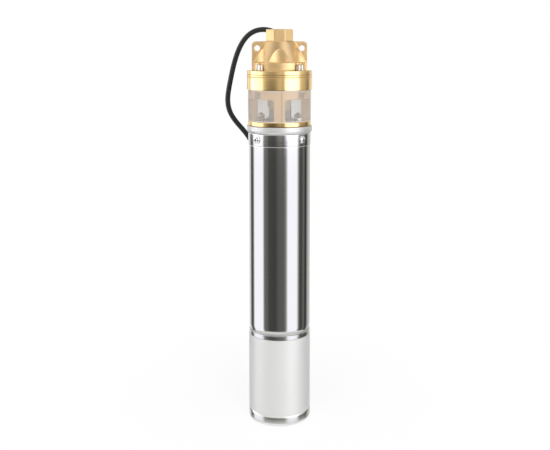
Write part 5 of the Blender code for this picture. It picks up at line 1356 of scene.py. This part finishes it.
    def panels(self, settings):
        """White panels and dark gaps that stand round the pump and show only in its metal."""
        bm = bmesh.new()
        low, high = ([bm.verts.new(around(self.PANEL_R, 360.0 * i / self.PANEL_SIDES, z))
                      for i in range(self.PANEL_SIDES)] for z in (self.PANEL_FOOT, self.PANEL_TOP))
        bridge(bm, low, high)
        made = mesh_object("reflector panels", bm)
        look = bpy.data.materials.new("reflector panels")
        node = empty_tree(look)
        place = node("ShaderNodeSeparateXYZ", {
            "Vector": node("ShaderNodeTexCoord").outputs["Object"]}).outputs
        front = node("ShaderNodeMath", {0: place["Y"], 1: -1.0}, operation="MULTIPLY")
        turn = node("ShaderNodeMath", {0: place["X"], 1: front}, operation="ARCTAN2")
        turns = node("ShaderNodeMath", {0: turn, 1: math.tau}, operation="DIVIDE")
        share = node("ShaderNodeMath", {0: turns, 1: 0.5}, operation="ADD")
        rises = [node("ShaderNodeMapRange", {
            "Value": place["Z"], "From Min": start, "From Max": end}) for start, end in (
                self.RING_RISE, self.CASTING_RISE, self.CASTING_END, self.UNDER_RISE)]
        above_motor, from_casting, to_casting, below = rises
        beside_head = node("ShaderNodeMath", {0: from_casting, 1: to_casting},
                           operation="MULTIPLY")
        lit = self.bands(node, share, self.MOTOR_WARMTH, self.MOTOR_PANELS)
        for part, shades in (
                (above_motor, self.bands(node, share, self.HEAD_WARMTH, self.RING_PANELS)),
                (beside_head, self.bands(node, share, self.HEAD_WARMTH, self.CASTING_PANELS)),
                (below, self.UNDER_PANEL)):
            lit = node("ShaderNodeMix", {"Factor": part, "A": lit, "B": shades}, data_type="RGBA")
        power = node("ShaderNodeMapRange", {
            "Value": above_motor, "To Min": settings.panel_strength,
            "To Max": settings.upper_strength})
        fade = node("ShaderNodeMapRange", {
            "Value": place["Z"], "From Min": self.FADE_FOOT, "From Max": self.FADE_TOP,
            "To Min": 1.0, "To Max": self.FADED})
        strength = node("ShaderNodeMath", {0: power, 1: fade}, operation="MULTIPLY")
        glow = node("ShaderNodeEmission", {"Color": lit, "Strength": strength})
        node("ShaderNodeOutputMaterial", {"Surface": glow})
        made.data.materials.append(look)
        made.visible_camera = False
        made.visible_diffuse = False
        made.visible_transmission = False
        made.visible_shadow = False

    def bands(self, node, share, warmth, stops):
        """Panels round the pump, from their azimuths and brightness, with warmer dark gaps."""
        ramp = node("ShaderNodeValToRGB", {"Fac": share})
        marks = ramp.color_ramp.elements
        marks.remove(marks[-1])
        marks[0].position = 0.0
        for azimuth, value in stops:
            mark = marks[0] if azimuth == -180 else marks.new((azimuth + 180.0) / 360.0)
            shade = warmth * (1.0 - value)
            cool = 1.0 + 0.5 * warmth * value ** 6
            mark.color = (value, value * (1.0 - 0.1 * shade),
                          value * (1.0 - 0.3 * shade) * cool, 1.0)
        return ramp

    def lamp(self, azimuth, height, power):
        data = bpy.data.lights.new("soft lamp", "AREA")
        data.shape = "RECTANGLE"
        data.size, data.size_y = self.LAMP_WIDTH, self.LAMP_HEIGHT
        data.energy = power
        lamp = new_object("soft lamp", data)
        lamp.location = around(self.LAMP_DISTANCE, azimuth, height)
        aim = Vector((0.0, 0.0, self.LAMP_AIM)) - lamp.location
        lamp.rotation_euler = aim.to_track_quat("-Z", "Y").to_euler()
        lamp.visible_glossy = False


class PUMP_PT_panel(bpy.types.Panel):
    """Buttons for the pump's pieces, and the sizes and colours that they use"""
    bl_idname = "PUMP_PT_panel"
    bl_label = "Borehole pump"
    bl_space_type = "VIEW_3D"
    bl_region_type = "UI"
    bl_category = "Pump"

    def draw(self, context):
        for maker in OPERATORS:
            self.layout.operator(maker.bl_idname, text=maker.bl_label)
        for group in GROUPS:
            values = getattr(context.scene, group)
            box = self.layout.box()
            for name in values.__annotations__:
                box.prop(values, name)


OPERATORS = (
    PUMP_OT_stage, PUMP_OT_cable, PUMP_OT_head, PUMP_OT_head_bolts, PUMP_OT_pump_body,
    PUMP_OT_strainer, PUMP_OT_body_studs, PUMP_OT_motor_flange, PUMP_OT_clamp_ring,
    PUMP_OT_motor_tube, PUMP_OT_lower_shell, PUMP_OT_shaft_seal, PUMP_OT_inner_parts)
GROUPS = {"pump_sizes": PumpSizes, "pump_colours": PumpColours, "pump_stage": PumpStage}


def register():
    for made in (*GROUPS.values(), *OPERATORS, PUMP_PT_panel):
        bpy.utils.register_class(made)
    for name, group in GROUPS.items():
        setattr(bpy.types.Scene, name, PointerProperty(type=group))


def unregister():
    for name in GROUPS:
        delattr(bpy.types.Scene, name)
    for made in (PUMP_PT_panel, *reversed(OPERATORS), *reversed(GROUPS.values())):
        bpy.utils.unregister_class(made)


def main():
    register()
    for maker in OPERATORS:
        group, name = maker.bl_idname.split(".")
        getattr(getattr(bpy.ops, group), name)()


if __name__ == "__main__":
    main()
